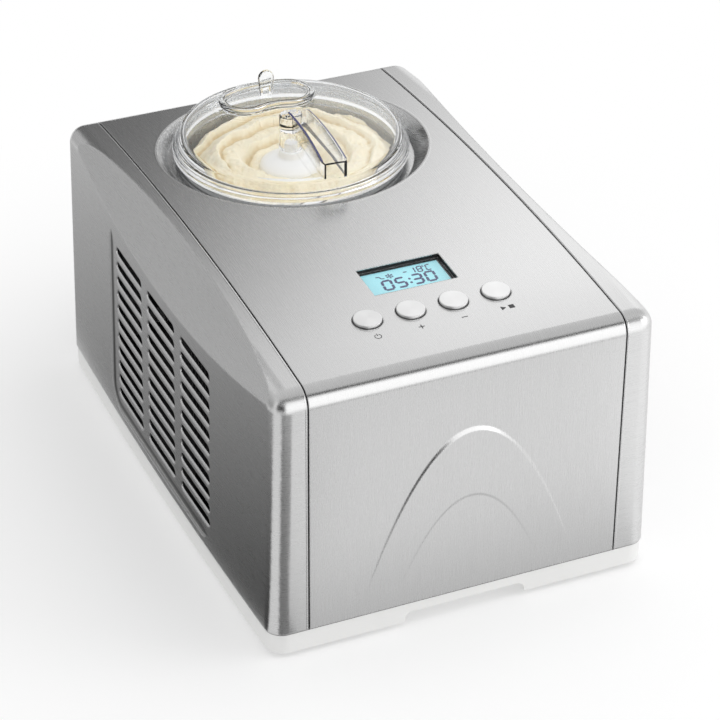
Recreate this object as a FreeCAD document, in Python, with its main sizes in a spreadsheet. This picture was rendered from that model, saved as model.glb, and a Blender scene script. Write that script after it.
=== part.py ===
# Countertop ice cream maker: steel casing on a plastic base, lift-out bowl, stirring drive and cooling set.
# Millimetres. +Z up, the arched front faces -Y, origin on the floor under the middle of the body.
import FreeCAD, Part
import math
import os
import re
import Sketcher
from FreeCAD import Placement, Rotation, Vector

doc = FreeCAD.newDocument("ice_cream_maker")

# Driving sizes, in millimetres, degrees and counts. Each is written once.
SIZES = {
    # Casing
    "body_length": 420.0,
    "seam_width": 234.0,
    "foot_half_width": 144.5,
    "top_half_width": 140.5,
    "side_bulge": 3.8,
    "top_end_height": 211.0,
    "top_crown": 9.9,
    "sheet": 1.0,
    "edge_round": 13.0,
    "seam_gap": 0.6,
    "strip_lap": 2.0,
    "rear_inset": 2.5,
    "rear_lap": 24.0,
    "shoulder_slope": 64.0,
    "shoulder_drop": 41.0,
    "shoulder_radius": 2600.0,
    "shoulder_middle": -16.0,
    # Embossed arches on the front
    "arch_offset": 3.0,
    "arch_rise": 19.5,
    "outer_arch_height": 115.0,
    "outer_arch_half": 77.0,
    "outer_arch_depth": 1.7,
    "outer_arch_lip": 1.5,
    "inner_arch_height": 58.5,
    "inner_arch_half": 50.7,
    "inner_arch_lip": 2.5,
    # Base
    "foot_height": 4.0,
    "base_height": 16.5,
    "base_wall": 2.5,
    "base_floor": 3.0,
    "base_inset": 0.8,
    "base_corner": 14.0,
    "foot_radius": 9.0,
    "foot_taper": 1.0,
    "foot_side": 56.5,
    "foot_end": 13.5,
    "scoop_width": 92.0,
    "scoop_rise": 8.0,
    "scoop_round": 6.0,
    # Vent slots in the sides and the rear
    "slot_length": 56.0,
    "slot_height": 9.0,
    "slot_pitch": 12.1,
    "slot_rows": 11,
    "slot_columns": 3,
    "column_pitch": 67.0,
    "vent_rise": 24.0,
    "vent_middle": -6.0,
    "rear_slot_rows": 4,
    "rear_slot_length": 110.0,
    "rear_vent_rise": 19.5,
    # Bowl, well and the recess round them
    "bowl_behind": 108.0,
    "bowl_radius": 82.5,
    "bowl_wall": 1.2,
    "rim_rise": 6.5,
    "bowl_flange": 4.5,
    "bowl_lip": 1.7,
    "bowl_tube_radius": 11.0,
    "bowl_tube_height": 30.5,
    "part_gap": 0.3,
    "overshoot": 1.0,
    "well_gap": 0.5,
    "well_wall": 1.5,
    "well_flange": 14.5,
    "recess_depth": 11.2,
    "recess_radius": 101.0,
    "recess_foot": 92.0,
    "jacket_wall": 4.3,
    "jacket_drop": 8.3,
    "foam_wall": 16.2,
    "foam_floor": 16.0,
    "frame_plate": 3.0,
    "frame_leg": 12.0,
    # Paddle and drive shaft
    "shaft_radius": 6.0,
    "shaft_square": 9.0,
    "shaft_tongue": 18.0,
    "square_gap": 0.6,
    "running_gap": 0.05,
    "hub_radius": 24.0,
    "hub_drop": 14.0,
    "hub_neck_radius": 10.5,
    "neck_drop": 1.5,
    "pin_radius": 5.0,
    "pin_gap": 3.0,
    "sleeve_wall": 3.0,
    "blade_thickness": 4.0,
    "blade_drop": 22.0,
    "blade_gap": 1.6,
    "blade_rim": 9.0,
    # Lid and filler cap
    "lid_wall": 2.0,
    "lid_rim_radius": 88.4,
    "lid_rim_height": 5.2,
    "lid_step": 2.4,
    "lid_step_height": 3.0,
    "lid_draft": 1.6,
    "lid_height": 17.0,
    "lid_round": 4.0,
    "lid_skirt": 5.0,
    "boss_wall": 4.0,
    "boss_gap": 1.0,
    "ridge_offset": 3.0,
    "ridge_half": 9.0,
    "ridge_front": 82.0,
    "ridge_back": 6.0,
    "ridge_rise": 11.5,
    "ridge_crown": 4.0,
    "filler_arc": 51.0,
    "filler_half": 17.0,
    "filler_angle": 20.0,
    "collar_rise": 2.0,
    "cap_thickness": 3.2,
    "cap_lip": 1.0,
    "cap_skirt": 3.5,
    "tab_half": 6.5,
    "tab_rise": 19.5,
    "tab_thickness": 3.0,
    "tab_along": 49.0,
    # Gear train under the bowl
    "gear_module": 1.0,
    "output_teeth": 60,
    "small_teeth": 15,
    "large_teeth": 50,
    "pinion_teeth": 15,
    "gear_width": 8.0,
    "gear_backlash": 0.3,
    "pressure_angle": 20.0,
    "tooth_above": 0.85,
    "tooth_below": 1.2,
    "gearbox_wall": 3.0,
    "gearbox_cover": 4.0,
    "gearbox_inside": 32.0,
    "gear_clear": 4.0,
    "idler_radius": 4.0,
    "bush_wall": 3.0,
    "motor_radius": 20.0,
    "motor_height": 34.0,
    "motor_clear": 4.2,
    "motor_wall": 3.0,
    "motor_shaft": 3.0,
    "rotor_gap": 2.0,
    # Compressor
    "compressor_side": 59.0,
    "compressor_ahead": 108.0,
    "compressor_radius": 52.0,
    "compressor_height": 107.0,
    "compressor_seam": 3.0,
    "compressor_chamfer": 8.3,
    "dome_height": 18.2,
    "dome_bend": 13.0,
    "dome_drop": 4.2,
    "dome_flat": 20.8,
    "stub_drop": 31.2,
    "mount_radius": 8.0,
    "mount_top": 6.4,
    "mount_height": 12.5,
    "mount_half": 40.0,
    "mount_plate": 3.0,
    # Condenser and fan
    "condenser_clear": 8.5,
    "condenser_thickness": 20.0,
    "condenser_ahead": 128.0,
    "condenser_half": 50.0,
    "condenser_height": 129.5,
    "fin_count": 16,
    "fin_thickness": 1.0,
    "tube_count": 5,
    "tube_radius": 4.0,
    "shroud_gap": 1.0,
    "shroud_wall": 3.0,
    "fan_radius": 41.0,
    "fan_depth": 14.0,
    "fan_gap": 3.0,
    "fan_hub": 13.0,
    "fan_blades": 5,
    "fan_pitch": 32.0,
    "fan_blade_sheet": 1.6,
    "fan_blade_fill": 0.85,
    "fan_motor_radius": 22.0,
    "fan_motor_length": 30.0,
    "fan_shaft": 2.5,
    "bracket_half": 25.0,
    # Pipes
    "pipe_radius": 2.5,
    "pipe_bend": 6.0,
    "pipe_overlap": 2.0,
    "drier_radius": 7.0,
    "drier_length": 34.0,
    "drier_rise": 36.0,
    "drier_side": 32.0,
    "drier_clear": 10.0,
    # Controls under the sloping top
    "control_ahead": 82.0,
    "carrier_half_width": 80.0,
    "carrier_half_length": 48.0,
    "carrier_depth": 12.0,
    "carrier_wall": 2.0,
    "carrier_gap": 0.8,
    "display_width": 62.6,
    "display_length": 33.0,
    "display_ahead": 22.0,
    "display_rim": 4.7,
    "window_thickness": 1.2,
    "window_recess": 2.3,
    "module_rim": 0.9,
    "module_height": 5.0,
    "button_pitch": 31.9,
    "button_behind": 19.7,
    "button_radius": 10.0,
    "button_rise": 2.0,
    "button_gap": 0.7,
    "button_flange": 1.6,
    "button_stop": 0.5,
    "stem_radius": 4.0,
    "stem_length": 9.4,
    "stem_gap": 0.3,
    "board_drop": 6.4,
    "board_thickness": 1.6,
    "switch_size": 6.0,
    "switch_height": 4.1,
    "post_radius": 3.0,
    # Power board, gland and screws
    "power_side": 60.0,
    "power_ahead": 39.0,
    "power_half_width": 42.0,
    "power_half_length": 25.0,
    "power_rise": 9.5,
    "gland_side": 47.0,
    "gland_rise": 24.5,
    "gland_radius": 8.0,
    "gland_bore": 3.6,
    "gland_lip": 2.0,
    "gland_nose": 4.2,
    "screw_radius": 1.6,
    "screw_head": 3.6,
    "screw_top": 2.5,
    "screw_length": 6.0,
    "screw_side": 6.0,
}

# Sizes that follow from the driving ones.
DERIVED = {
    "half_length": "body_length / 2",
    "seam_half": "seam_width / 2",
    "bowl_along": "half_length - bowl_behind",
    "control_row": "half_length - control_ahead",
    "compressor_across": "seam_half - compressor_side",
    "compressor_along": "compressor_ahead - half_length",
    "condenser_along": "condenser_ahead - half_length",
    "power_across": "power_side - seam_half",
    "power_along": "power_ahead - half_length",
    "drier_across": "condenser_inner + drier_side",
    "drier_along": "bowl_along - foam_half + sheet - drier_clear",
    "foot_across": "foot_half_width - foot_side",
    "foot_along": "half_length - foot_end",
    "gland_across": "gland_side - seam_half",
    "gland_level": "panel_low + gland_rise",
    "screw_across": "seam_half - screw_side",
    "vent_low": "panel_low + vent_rise",
    "rear_vent_low": "panel_low + rear_vent_rise",
    "arch_foot": "panel_low + arch_rise",
    "outer_arch_top": "arch_foot + outer_arch_height",
    "inner_arch_top": "arch_foot + inner_arch_height",
    "panel_low": "foot_height + base_height",
    "apex": "top_end_height + top_crown",
    "crown_radius": "body_length ^ 2 / (8 * top_crown) + top_crown / 2",
    "crown_centre": "apex - crown_radius",
    "lean": "(foot_half_width - top_half_width) / (top_end_height - panel_low)",
    "block_top": "apex + edge_round",
    "block_half": "foot_half_width - lean * (block_top - panel_low)",
    "rear_face": "half_length - rear_inset",
    "rear_top": "top_end_height - rear_lap",
    "recess_level": "crown_centre + sqrt(crown_radius ^ 2 - bowl_along ^ 2)",
    "recess_floor": "recess_level - recess_depth",
    "recess_run": "(recess_radius - recess_foot) / recess_depth",
    "lip_level": "apex + 4 * sheet",
    "bowl_rim": "recess_floor + rim_rise",
    "bowl_bottom": "well_bottom + well_wall + part_gap",
    "bowl_tube_top": "bowl_bottom + bowl_tube_height",
    "hub_shoulder": "bowl_rim - hub_drop",
    "hub_neck": "bowl_rim - neck_drop",
    "blade_top": "bowl_rim - blade_drop",
    "lid_top": "bowl_rim + lid_height",
    "pin_top": "lid_under - pin_gap",
    "boss_low": "hub_neck + boss_gap",
    "well_radius": "bowl_radius + well_gap",
    "well_outer": "well_radius + well_wall",
    "well_lip": "bowl_rim - bowl_lip - part_gap",
    "well_bottom": "foam_low + foam_floor",
    "well_seat": "recess_floor - sheet",
    "foam_half": "well_outer + jacket_wall + foam_wall",
    "motor_low": "panel_low + motor_clear",
    "gearbox_low": "motor_low + motor_height",
    "gear_floor": "gearbox_low + gearbox_wall",
    "gear_top": "gear_floor + gearbox_inside",
    "frame_low": "gear_top + gearbox_cover",
    "foam_low": "frame_low + frame_plate",
    "output_reach": "gear_module * round(output_teeth) / 2",
    "idler_along": "bowl_along - gear_module * (round(output_teeth) + round(small_teeth)) / 2",
    "motor_along": "idler_along - gear_module * (round(large_teeth) + round(pinion_teeth)) / 2",
    "output_level": "gear_floor + gear_clear",
    "large_level": "output_level + gear_width + gear_clear",
    "bush_radius": "shaft_radius + bush_wall",
    "socket_top": "bowl_tube_top + part_gap + shaft_tongue + square_gap",
    "sleeve_bore": "bowl_tube_radius + part_gap",
    "bowl_inside": "bowl_radius - bowl_wall",
    "bowl_floor": "bowl_bottom + bowl_wall",
    "lid_low": "bowl_rim + part_gap",
    "lid_step_low": "lid_low + lid_rim_height",
    "lid_wall_low": "lid_step_low + lid_step_height",
    "lid_wall_radius": "lid_rim_radius - 2 * lid_step",
    "lid_under": "lid_top - lid_wall",
    "skirt_radius": "bowl_inside - part_gap",
    "ridge_length": "ridge_front + ridge_back",
    "ridge_radius": "ridge_length ^ 2 / (8 * ridge_crown) + ridge_crown / 2",
    "ridge_centre": "lid_top + ridge_rise + ridge_crown - ridge_radius",
    "collar_top": "lid_top + collar_rise",
    "cap_low": "collar_top + part_gap",
    "cap_top": "cap_low + cap_thickness",
    "plug_half": "filler_half - part_gap",
    "compressor_low": "panel_low + mount_height + mount_plate",
    "compressor_top": "compressor_low + compressor_height",
    "condenser_across": "condenser_clear - min(foot_half_width; top_half_width)",
    "condenser_inner": "condenser_across + condenser_thickness",
    "condenser_top": "panel_low + condenser_height",
    "condenser_front": "condenser_along - condenser_half",
    "condenser_back": "condenser_along + condenser_half",
    "fan_level": "panel_low + condenser_height / 2",
    "shroud_face": "condenser_inner + shroud_gap + shroud_wall",
    "fan_face": "shroud_face + fan_gap",
    "fan_motor_face": "fan_face + fan_depth + fan_gap",
    "fan_motor_back": "fan_motor_face + fan_motor_length",
    "control_level": "crown_centre + sqrt(crown_radius ^ 2 - control_row ^ 2)",
    "control_tilt": "asin(control_row / crown_radius)",
    "carrier_top": "-sheet - carrier_gap",
    "board_top": "-carrier_depth - board_drop",
    "flange_top": "-sheet - button_stop",
    "drier_low": "panel_low + drier_rise",
    "power_level": "panel_low + power_rise",
}

sheet = doc.addObject("Spreadsheet::Sheet", "Sizes")
for row, (alias, value) in enumerate(SIZES.items(), start=1):
    sheet.set(f"A{row}", alias.replace("_", " "))
    sheet.set(f"B{row}", str(value))
    sheet.setAlias(f"B{row}", alias)
doc.recompute()


def words(text):
    """An expression over the sheet's cells, with the derived sizes written out."""
    def written(found):
        name = found[0]
        if name in DERIVED:
            return "(" + words(DERIVED[name]) + ")"
        return "Sizes." + name if name in SIZES else name
    return re.sub(r"[a-z]\w*", written, str(text))


def number(text):
    """The present value of an expression over the sheet's cells."""
    value = sheet.evalExpression(words(text))
    return float(getattr(value, "Value", value))


def whole(text):
    """The present value of a count."""
    return round(number(text))


def bind(item, **properties):
    """Tie properties of an object to expressions over the sheet's cells."""
    for name, text in properties.items():
        item.setExpression(name, words(text))
    return item


def place(item, x="0", y="0", z="0"):
    """Tie an object's position to three expressions."""
    for axis, text in zip("xyz", (x, y, z)):
        item.setExpression(f"Placement.Base.{axis}", words(text))
    return item


pieces = {}


def keep(label, item):
    """Name a finished sub-part."""
    item.Label = label
    pieces[label] = item
    return item


# Solids from primitives.
def block(name, x, y, z):
    """A block between two limits along each axis."""
    item = doc.addObject("Part::Box", name)
    for prop, (low, high) in zip(("Length", "Width", "Height"), (x, y, z)):
        item.setExpression(prop, words(f"({high}) - ({low})"))
    return place(item, x[0], y[0], z[0])


TURN = {"X": Rotation(Vector(0, 1, 0), 90), "Y": Rotation(Vector(1, 0, 0), -90), "Z": Rotation()}


def mirrored(sign, low, high):
    """Two limits on the right, or the same two limits on the left."""
    return (low, high) if sign > 0 else (f"-({high})", f"-({low})")


def rod(name, radius, low, high, at=("0", "0"), along="Z", radius_high=None):
    """A round rod, or a cone where its far radius differs, along one axis between two limits."""
    item = doc.addObject("Part::Cone" if radius_high else "Part::Cylinder", name)
    if radius_high:
        bind(item, Radius1=radius, Radius2=radius_high)
    else:
        bind(item, Radius=radius)
    bind(item, Height=f"({high}) - ({low})")
    item.Placement = Placement(Vector(), TURN[along])
    start = {"X": (low, *at), "Y": (at[0], low, at[1]), "Z": (*at, low)}[along]
    return place(item, *start)


def fuse(name, *solids):
    """Several solids joined into one piece."""
    item = doc.addObject("Part::MultiFuse", name)
    item.Shapes = list(solids)
    item.Refine = False
    return item


def group(name, *solids):
    """Several separate solids under one name."""
    item = doc.addObject("Part::Compound", name)
    item.Links = list(solids)
    return item


def cut(name, base, *tools):
    """A solid with others taken out of it."""
    item = doc.addObject("Part::Cut", name)
    item.Base = base
    item.Tool = tools[0] if len(tools) == 1 else fuse(name + "_tools", *tools)
    item.Refine = False
    return item


def common(name, first, second):
    """What two solids share."""
    item = doc.addObject("Part::Common", name)
    item.Base = first
    item.Tool = second
    item.Refine = False
    return item


def tube(name, outer, inner, low, high, at=("0", "0"), along="Z"):
    """A round tube between two limits."""
    wall = rod(name + "_wall", outer, low, high, at, along)
    bore = rod(name + "_bore", inner, f"{low} - overshoot", f"{high} + overshoot", at, along)
    return cut(name, wall, bore)


def made(name, shape):
    """A piece whose shape comes straight from geometry worked out below."""
    item = doc.addObject("Part::Feature", name)
    item.Shape = shape
    return item


# Solids from constrained sketches.
def sketch_on(body, name, plane, lift="0"):
    """An empty sketch on one of a body's own origin planes, raised along the plane's normal."""
    sketch = body.newObject("Sketcher::SketchObject", name)
    support = [item for item in body.Origin.OriginFeatures if item.Role == plane][0]
    sketch.AttachmentSupport = (support, [""])
    sketch.MapMode = "FlatFace"
    sketch.setExpression("AttachmentOffset.Base.z", words(lift))
    return sketch


def hold(sketch, kind, *where, size=None):
    """Add one constraint, tied to the sheet where it has a size."""
    if size is None:
        sketch.addConstraint(Sketcher.Constraint(kind, *where))
        return
    index = sketch.addConstraint(Sketcher.Constraint(kind, *where, number(size)))
    sketch.setExpression(f"Constraints[{index}]", words(size))


ORIGIN = (-1, 1)
H_AXIS = -1
V_AXIS = -2


def pin_point(sketch, edge, end, x, y):
    """Hold a point of a sketch at two distances from the origin."""
    for kind, axis, text in (("DistanceX", V_AXIS, x), ("DistanceY", H_AXIS, y)):
        if text == "0":
            hold(sketch, "PointOnObject", edge, end, axis)
        else:
            hold(sketch, kind, *ORIGIN, edge, end, size=text)


def polygon(sketch, points):
    """Close a straight-sided outline through points, each held by its two distances."""
    corners = [Vector(number(x), number(y), 0) for x, y in points]
    count = len(corners)
    for index, corner in enumerate(corners):
        sketch.addGeometry(Part.LineSegment(corner, corners[(index + 1) % count]))
    for index in range(count):
        hold(sketch, "Coincident", index, 2, (index + 1) % count, 1)
    for index, (x, y) in enumerate(points):
        pin_point(sketch, index, 1, x, y)


def turned(name, points, x="0", y="0"):
    """A body of revolution about the vertical, from its half section."""
    body = doc.addObject("PartDesign::Body", name)
    sketch = sketch_on(body, name + "_section", "XZ_Plane")
    polygon(sketch, points)
    turn = body.newObject("PartDesign::Revolution", name + "_turn")
    turn.Profile = sketch
    turn.ReferenceAxis = (sketch, ["V_Axis"])
    turn.Angle = 360
    sketch.Visibility = False
    return place(body, x, y)


def rounded(body, name, radius, wanted):
    """Round the edges of a body's last feature that a test picks out."""
    doc.recompute()
    base = body.Tip
    edges = [f"Edge{index}" for index, edge in enumerate(base.Shape.Edges, start=1) if wanted(edge)]
    feature = body.newObject("PartDesign::Fillet", name)
    feature.Base = (base, edges)
    return bind(feature, Radius=radius)


def plan(sketch, half_width, half_length, bulge):
    """The casing's plan: straight front and back, sides swelling outwards along one arc each."""
    across, along, swell = number(half_width), number(half_length), number(bulge)
    radius = f"({half_length}) ^ 2 / (2 * ({bulge})) + ({bulge}) / 2"
    size = number(radius)
    spread = math.asin(along / size)
    sketch.addGeometry(Part.LineSegment(Vector(-across, -along, 0), Vector(across, -along, 0)))
    right = Part.Circle(Vector(across + swell - size, 0, 0), Vector(0, 0, 1), size)
    sketch.addGeometry(Part.ArcOfCircle(right, -spread, spread))
    sketch.addGeometry(Part.LineSegment(Vector(across, along, 0), Vector(-across, along, 0)))
    left = Part.Circle(Vector(size - across - swell, 0, 0), Vector(0, 0, 1), size)
    sketch.addGeometry(Part.ArcOfCircle(left, math.pi - spread, math.pi + spread))
    for edge in range(4):
        hold(sketch, "Coincident", edge, 2, (edge + 1) % 4, 1)
    pin_point(sketch, 0, 1, f"-({half_width})", f"-({half_length})")
    pin_point(sketch, 0, 2, half_width, f"-({half_length})")
    pin_point(sketch, 2, 1, half_width, half_length)
    pin_point(sketch, 2, 2, f"-({half_width})", half_length)
    hold(sketch, "Radius", 1, size=radius)
    hold(sketch, "Radius", 3, size=radius)


def casing_block(name, inset):
    """The casing's outside, or its inside when inset by the sheet: leaning sides under a crowned top."""
    body = doc.addObject("PartDesign::Body", name)
    low = sketch_on(body, name + "_low", "XY_Plane", f"panel_low - {inset}")
    plan(low, f"foot_half_width - {inset}", f"half_length - {inset}", "side_bulge")
    high = sketch_on(body, name + "_high", "XY_Plane", "block_top")
    plan(high, f"block_half - {inset}", f"half_length - {inset}", "side_bulge")
    loft = body.newObject("PartDesign::AdditiveLoft", name + "_loft")
    loft.Profile = low
    loft.Sections = [high]
    loft.Ruled = True
    doc.recompute()
    above = sketch_on(body, name + "_above", "YZ_Plane")
    reach, radius = number("half_length + edge_round"), number(f"crown_radius - {inset}")
    centre = Vector(0, number("crown_centre"), 0)
    ceiling = number("block_top + edge_round")
    spread = math.asin(reach / radius)
    crown = Part.ArcOfCircle(Part.Circle(centre, Vector(0, 0, 1), radius), math.pi / 2 - spread,
                             math.pi / 2 + spread)
    right, left = crown.StartPoint, crown.EndPoint
    above.addGeometry(crown)
    above.addGeometry(Part.LineSegment(left, Vector(left.x, ceiling, 0)))
    above.addGeometry(Part.LineSegment(Vector(left.x, ceiling, 0), Vector(right.x, ceiling, 0)))
    above.addGeometry(Part.LineSegment(Vector(right.x, ceiling, 0), right))
    for edge in range(4):
        hold(above, "Coincident", edge, 2, (edge + 1) % 4, 1)
    hold(above, "PointOnObject", 0, 3, V_AXIS)
    hold(above, "DistanceY", *ORIGIN, 0, 3, size="crown_centre")
    hold(above, "Radius", 0, size=f"crown_radius - {inset}")
    hold(above, "Vertical", 1)
    hold(above, "Vertical", 3)
    hold(above, "DistanceX", *ORIGIN, 0, 1, size="half_length + edge_round")
    pin_point(above, 2, 1, "-(half_length + edge_round)", "block_top + edge_round")
    hold(above, "DistanceY", *ORIGIN, 2, 2, size="block_top + edge_round")
    pocket = body.newObject("PartDesign::Pocket", name + "_crown")
    pocket.Profile = above
    pocket.Type = "ThroughAll"
    pocket.Midplane = True
    floor = number(f"panel_low - {inset}")
    rounded(body, name + "_round", f"edge_round - {inset}", lambda edge: edge.BoundBox.ZMax > floor + 1)
    return body


def drum(name, side, grow):
    """The large drum that hollows the long lens-shaped shoulder into the top edge of one side."""
    item = doc.addObject("Part::Cylinder", name)
    length = "4 * shoulder_drop"
    bind(item, Radius=f"shoulder_radius + {grow}", Height=length)
    item.Placement = Placement(Vector(), Rotation(Vector(0, -side, 0), number("90 - shoulder_slope")))
    item.setExpression("Placement.Rotation.Angle", words("90 - shoulder_slope"))
    crease = "apex - shoulder_drop"
    wall = f"(foot_half_width - lean * ({crease} - panel_low) + side_bulge)"
    outward = f"({wall} + shoulder_radius * sin(shoulder_slope))"
    upward = f"({crease} + shoulder_radius * cos(shoulder_slope))"
    back_off = f"({length}) / 2"
    return place(item, f"{side} * ({outward} + {back_off} * cos(shoulder_slope))", "shoulder_middle",
                 f"{upward} - {back_off} * sin(shoulder_slope)")


# Casing: one pressed shell, split at the seams into two side panels and a top-and-front sheet.
def vent_slots(name, rows, columns, low, middle, length, x):
    """Rows and columns of rounded slots that reach through a wall between two distances across."""
    body = doc.addObject("PartDesign::Body", name)
    body.AllowCompound = True
    sketch = sketch_on(body, name + "_slot", "YZ_Plane", x[0])
    half, radius = number(f"({length} - slot_height) / 2"), number("slot_height / 2")
    start = number(f"{middle} - ({columns} - 1) * column_pitch / 2")
    level = number(low)
    turn = math.pi / 2
    for centre, first in ((start + half, -turn), (start - half, turn)):
        circle = Part.Circle(Vector(centre, level, 0), Vector(0, 0, 1), radius)
        sketch.addGeometry(Part.ArcOfCircle(circle, first, first + math.pi))
    for sign in (1, -1):
        first = Vector(start + sign * half, level + sign * radius, 0)
        sketch.addGeometry(Part.LineSegment(first, Vector(start - sign * half, level + sign * radius, 0)))
    for edge, after in ((0, 2), (2, 1), (1, 3), (3, 0)):
        hold(sketch, "Tangent", edge, 2, after, 1)
    hold(sketch, "Horizontal", 2)
    hold(sketch, "Radius", 0, size="slot_height / 2")
    pin_point(sketch, 0, 3, f"{middle} - ({columns} - 1) * column_pitch / 2 + ({length} - slot_height) / 2",
              low)
    hold(sketch, "DistanceX", 1, 3, 0, 3, size=f"{length} - slot_height")
    pad = body.newObject("PartDesign::Pad", name + "_pad")
    pad.Profile = sketch
    bind(pad, Length=f"({x[1]}) - ({x[0]})")
    doc.recompute()
    steps = body.newObject("PartDesign::MultiTransform", name + "_steps")
    steps.Originals = [pad]
    ways = []
    for label, axis, count, pitch in (("up", "V_Axis", rows, "slot_pitch"),
                                      ("along", "H_Axis", columns, "column_pitch")):
        way = body.newObject("PartDesign::LinearPattern", f"{name}_{label}")
        way.Direction = (sketch, [axis])
        bind(way, Occurrences=count, Length=f"max(1; {count} - 1) * {pitch}")
        ways.append(way)
    steps.Transformations = ways
    body.Tip = steps
    return body


def control_place(item):
    """Set an object of the control cluster on the sloping top: its own +Z is the sheet's normal there."""
    item.Placement = Placement(Vector(), Rotation(Vector(1, 0, 0), number("control_tilt")))
    item.setExpression("Placement.Rotation.Angle", words("control_tilt"))
    return place(item, "0", "-control_row", "control_level")


BUTTONS = ("power", "plus", "minus", "start")


def button_x(index):
    """How far across a button sits, from the left."""
    return f"{index - 1.5} * button_pitch"


def arch_prism(word, grow, first, last):
    """A parabolic arch on the front between two depths behind its face, narrower the deeper it goes."""
    top, half, foot = (number(text) for text in (f"{word}_arch_top", f"{word}_arch_half", "arch_foot"))
    shift, lip, face = number("arch_offset"), number(f"{word}_arch_lip"), -number("half_length")
    widened = number(grow) * math.hypot(1, lip)

    def outline(inward):
        share = (top + widened - lip * inward - foot) / (top - foot)
        ends = [Vector(shift + side * half * share, face + inward, foot) for side in (-1, 1)]
        crown = Part.BezierCurve()
        crown.setPoles([ends[0], Vector(shift, face + inward, foot + 2 * share * (top - foot)), ends[1]])
        return Part.Wire([crown.toShape(), Part.makeLine(ends[1], ends[0])])

    return Part.makeLoft([outline(first), outline(last)], True, True)


def raised_arch(name, grow):
    """The outer arch's swelling, or the hollow behind it: flush at its foot, proudest at its crown."""
    top, depth, foot = number("outer_arch_top"), number("outer_arch_depth"), number("arch_foot")
    face, skin, across = -number("half_length"), number(grow), number("foot_half_width")
    lip = number("outer_arch_lip")
    front = 0 if skin else -depth
    peak = top + lip * depth + 2 * skin
    slope = depth / (top - foot)
    section = [(front, foot), (skin, foot), (skin + slope * (peak - foot), peak), (front, peak)]
    points = [Vector(-across, face + inward, level) for inward, level in section]
    wedge = Part.Face(Part.makePolygon(points + points[:1])).extrude(Vector(2 * across, 0, 0))
    inwards = arch_prism("outer", grow, front, 3 * depth).common(wedge)
    return made(name, inwards.mirror(Vector(0, face + number("sheet") / 2, 0), Vector(0, 1, 0)))


shells = []
for word, inset in (("outside", "0"), ("inside", "sheet")):
    solid = casing_block(f"casing_{word}", inset)
    drums = [drum(f"drum_{side}_{word}", sign, inset) for side, sign in (("left", -1), ("right", 1))]
    shells.append(cut(f"casing_{word}_shouldered", solid, *drums))
casing = cut("casing", *shells)
FAR = "2 * body_length"
slots = {}
for side, sign in (("left", -1), ("right", 1)):
    across = mirrored(sign, "foot_half_width / 2", "2 * foot_half_width")
    zone = block(f"{side}_zone", mirrored(sign, "seam_half + seam_gap", FAR), (f"-({FAR})", FAR),
                 ("0", FAR))
    slots[side] = vent_slots(f"{side}_vents", "round(slot_rows)", "round(slot_columns)", "vent_low",
                             "vent_middle", "slot_length", across)
    keep(f"{side}_side_panel", cut(f"{side}_panel", common(f"{side}_half", casing, zone), slots[side]))

middle = ("-(seam_half - seam_gap)", "seam_half - seam_gap")
centre_zone = block("centre_zone", middle, (f"-({FAR})", FAR), ("0", FAR))
rear_zone = block("rear_zone", (f"-({FAR})", FAR), ("half_length - edge_round - rear_inset", FAR),
                  ("0", "rear_top"))
centre_strip = cut("centre_strip", common("centre_half", casing, centre_zone), rear_zone)
lip_radius = "recess_foot + (lip_level - recess_floor) * recess_run"
slant = "sheet * sqrt(1 + recess_run ^ 2)"
hole_radius = "well_outer + well_gap"
dish_under = [("recess_foot + sheet * (sqrt(1 + recess_run ^ 2) - recess_run)", "recess_floor - sheet"),
              (f"{lip_radius} + {slant}", "lip_level")]
dish = turned("recess_dish", [(hole_radius, "recess_floor - sheet"), *dish_under, (lip_radius, "lip_level"),
                              ("recess_foot", "recess_floor"), (hole_radius, "recess_floor")],
                              y="bowl_along")
dish_space = turned("recess_space", [("0", "recess_floor - sheet"), *dish_under, ("0", "lip_level")],
                    y="bowl_along")
dish_trimmed = common("recess_trimmed", dish, shells[0])
display_hole = block("display_hole", ("-display_width / 2", "display_width / 2"),
                     ("display_ahead - display_length / 2", "display_ahead + display_length / 2"),
                     ("-edge_round", "edge_round"))
button_holes = [rod(f"hole_{name}", "button_radius + button_gap", "-edge_round", "edge_round",
                    (button_x(index), "-button_behind"))
                for index, name in enumerate(BUTTONS)]
control_holes = control_place(fuse("control_holes", display_hole, *button_holes))
arch_pad = raised_arch("outer_arch_pad", "sheet")
arch_hollow = raised_arch("outer_arch_hollow", "0")
proud = -2 * number("outer_arch_depth")
inner_core = made("inner_arch_core", arch_prism("inner", "sheet", proud, number("sheet")))
inner_plug = common("inner_arch_plug", inner_core, arch_pad)
inner_space = made("inner_arch_space", arch_prism("inner", "0", proud, 0))
recessed = fuse("top_with_recess", cut("top_with_hole", centre_strip, dish_space), dish_trimmed)
raised = cut("front_raised", fuse("front_padded", recessed, arch_pad), arch_hollow)
backed = fuse("front_backed", raised, inner_plug)
keep("top_front_panel", cut("top_front", backed, inner_space, control_holes))

# Dark strips behind the two seams, a gap inside the casing.
strip_skin = "(sheet + part_gap)"
strip_solid = cut("strip_solid", casing_block("strip_outside", strip_skin),
                  casing_block("strip_inside", "(2 * sheet + part_gap)"))
strips = []
for side, sign in (("left", -1), ("right", 1)):
    across = mirrored(sign, "seam_half - strip_lap", "seam_half + 2 * strip_lap")
    zone = block(f"{side}_strip_zone", across, (f"-({FAR})", FAR), ("panel_low", FAR))
    strips.append(common(f"{side}_strip", strip_solid, zone))
keep("seam_strips", group("strips", *strips))

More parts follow.
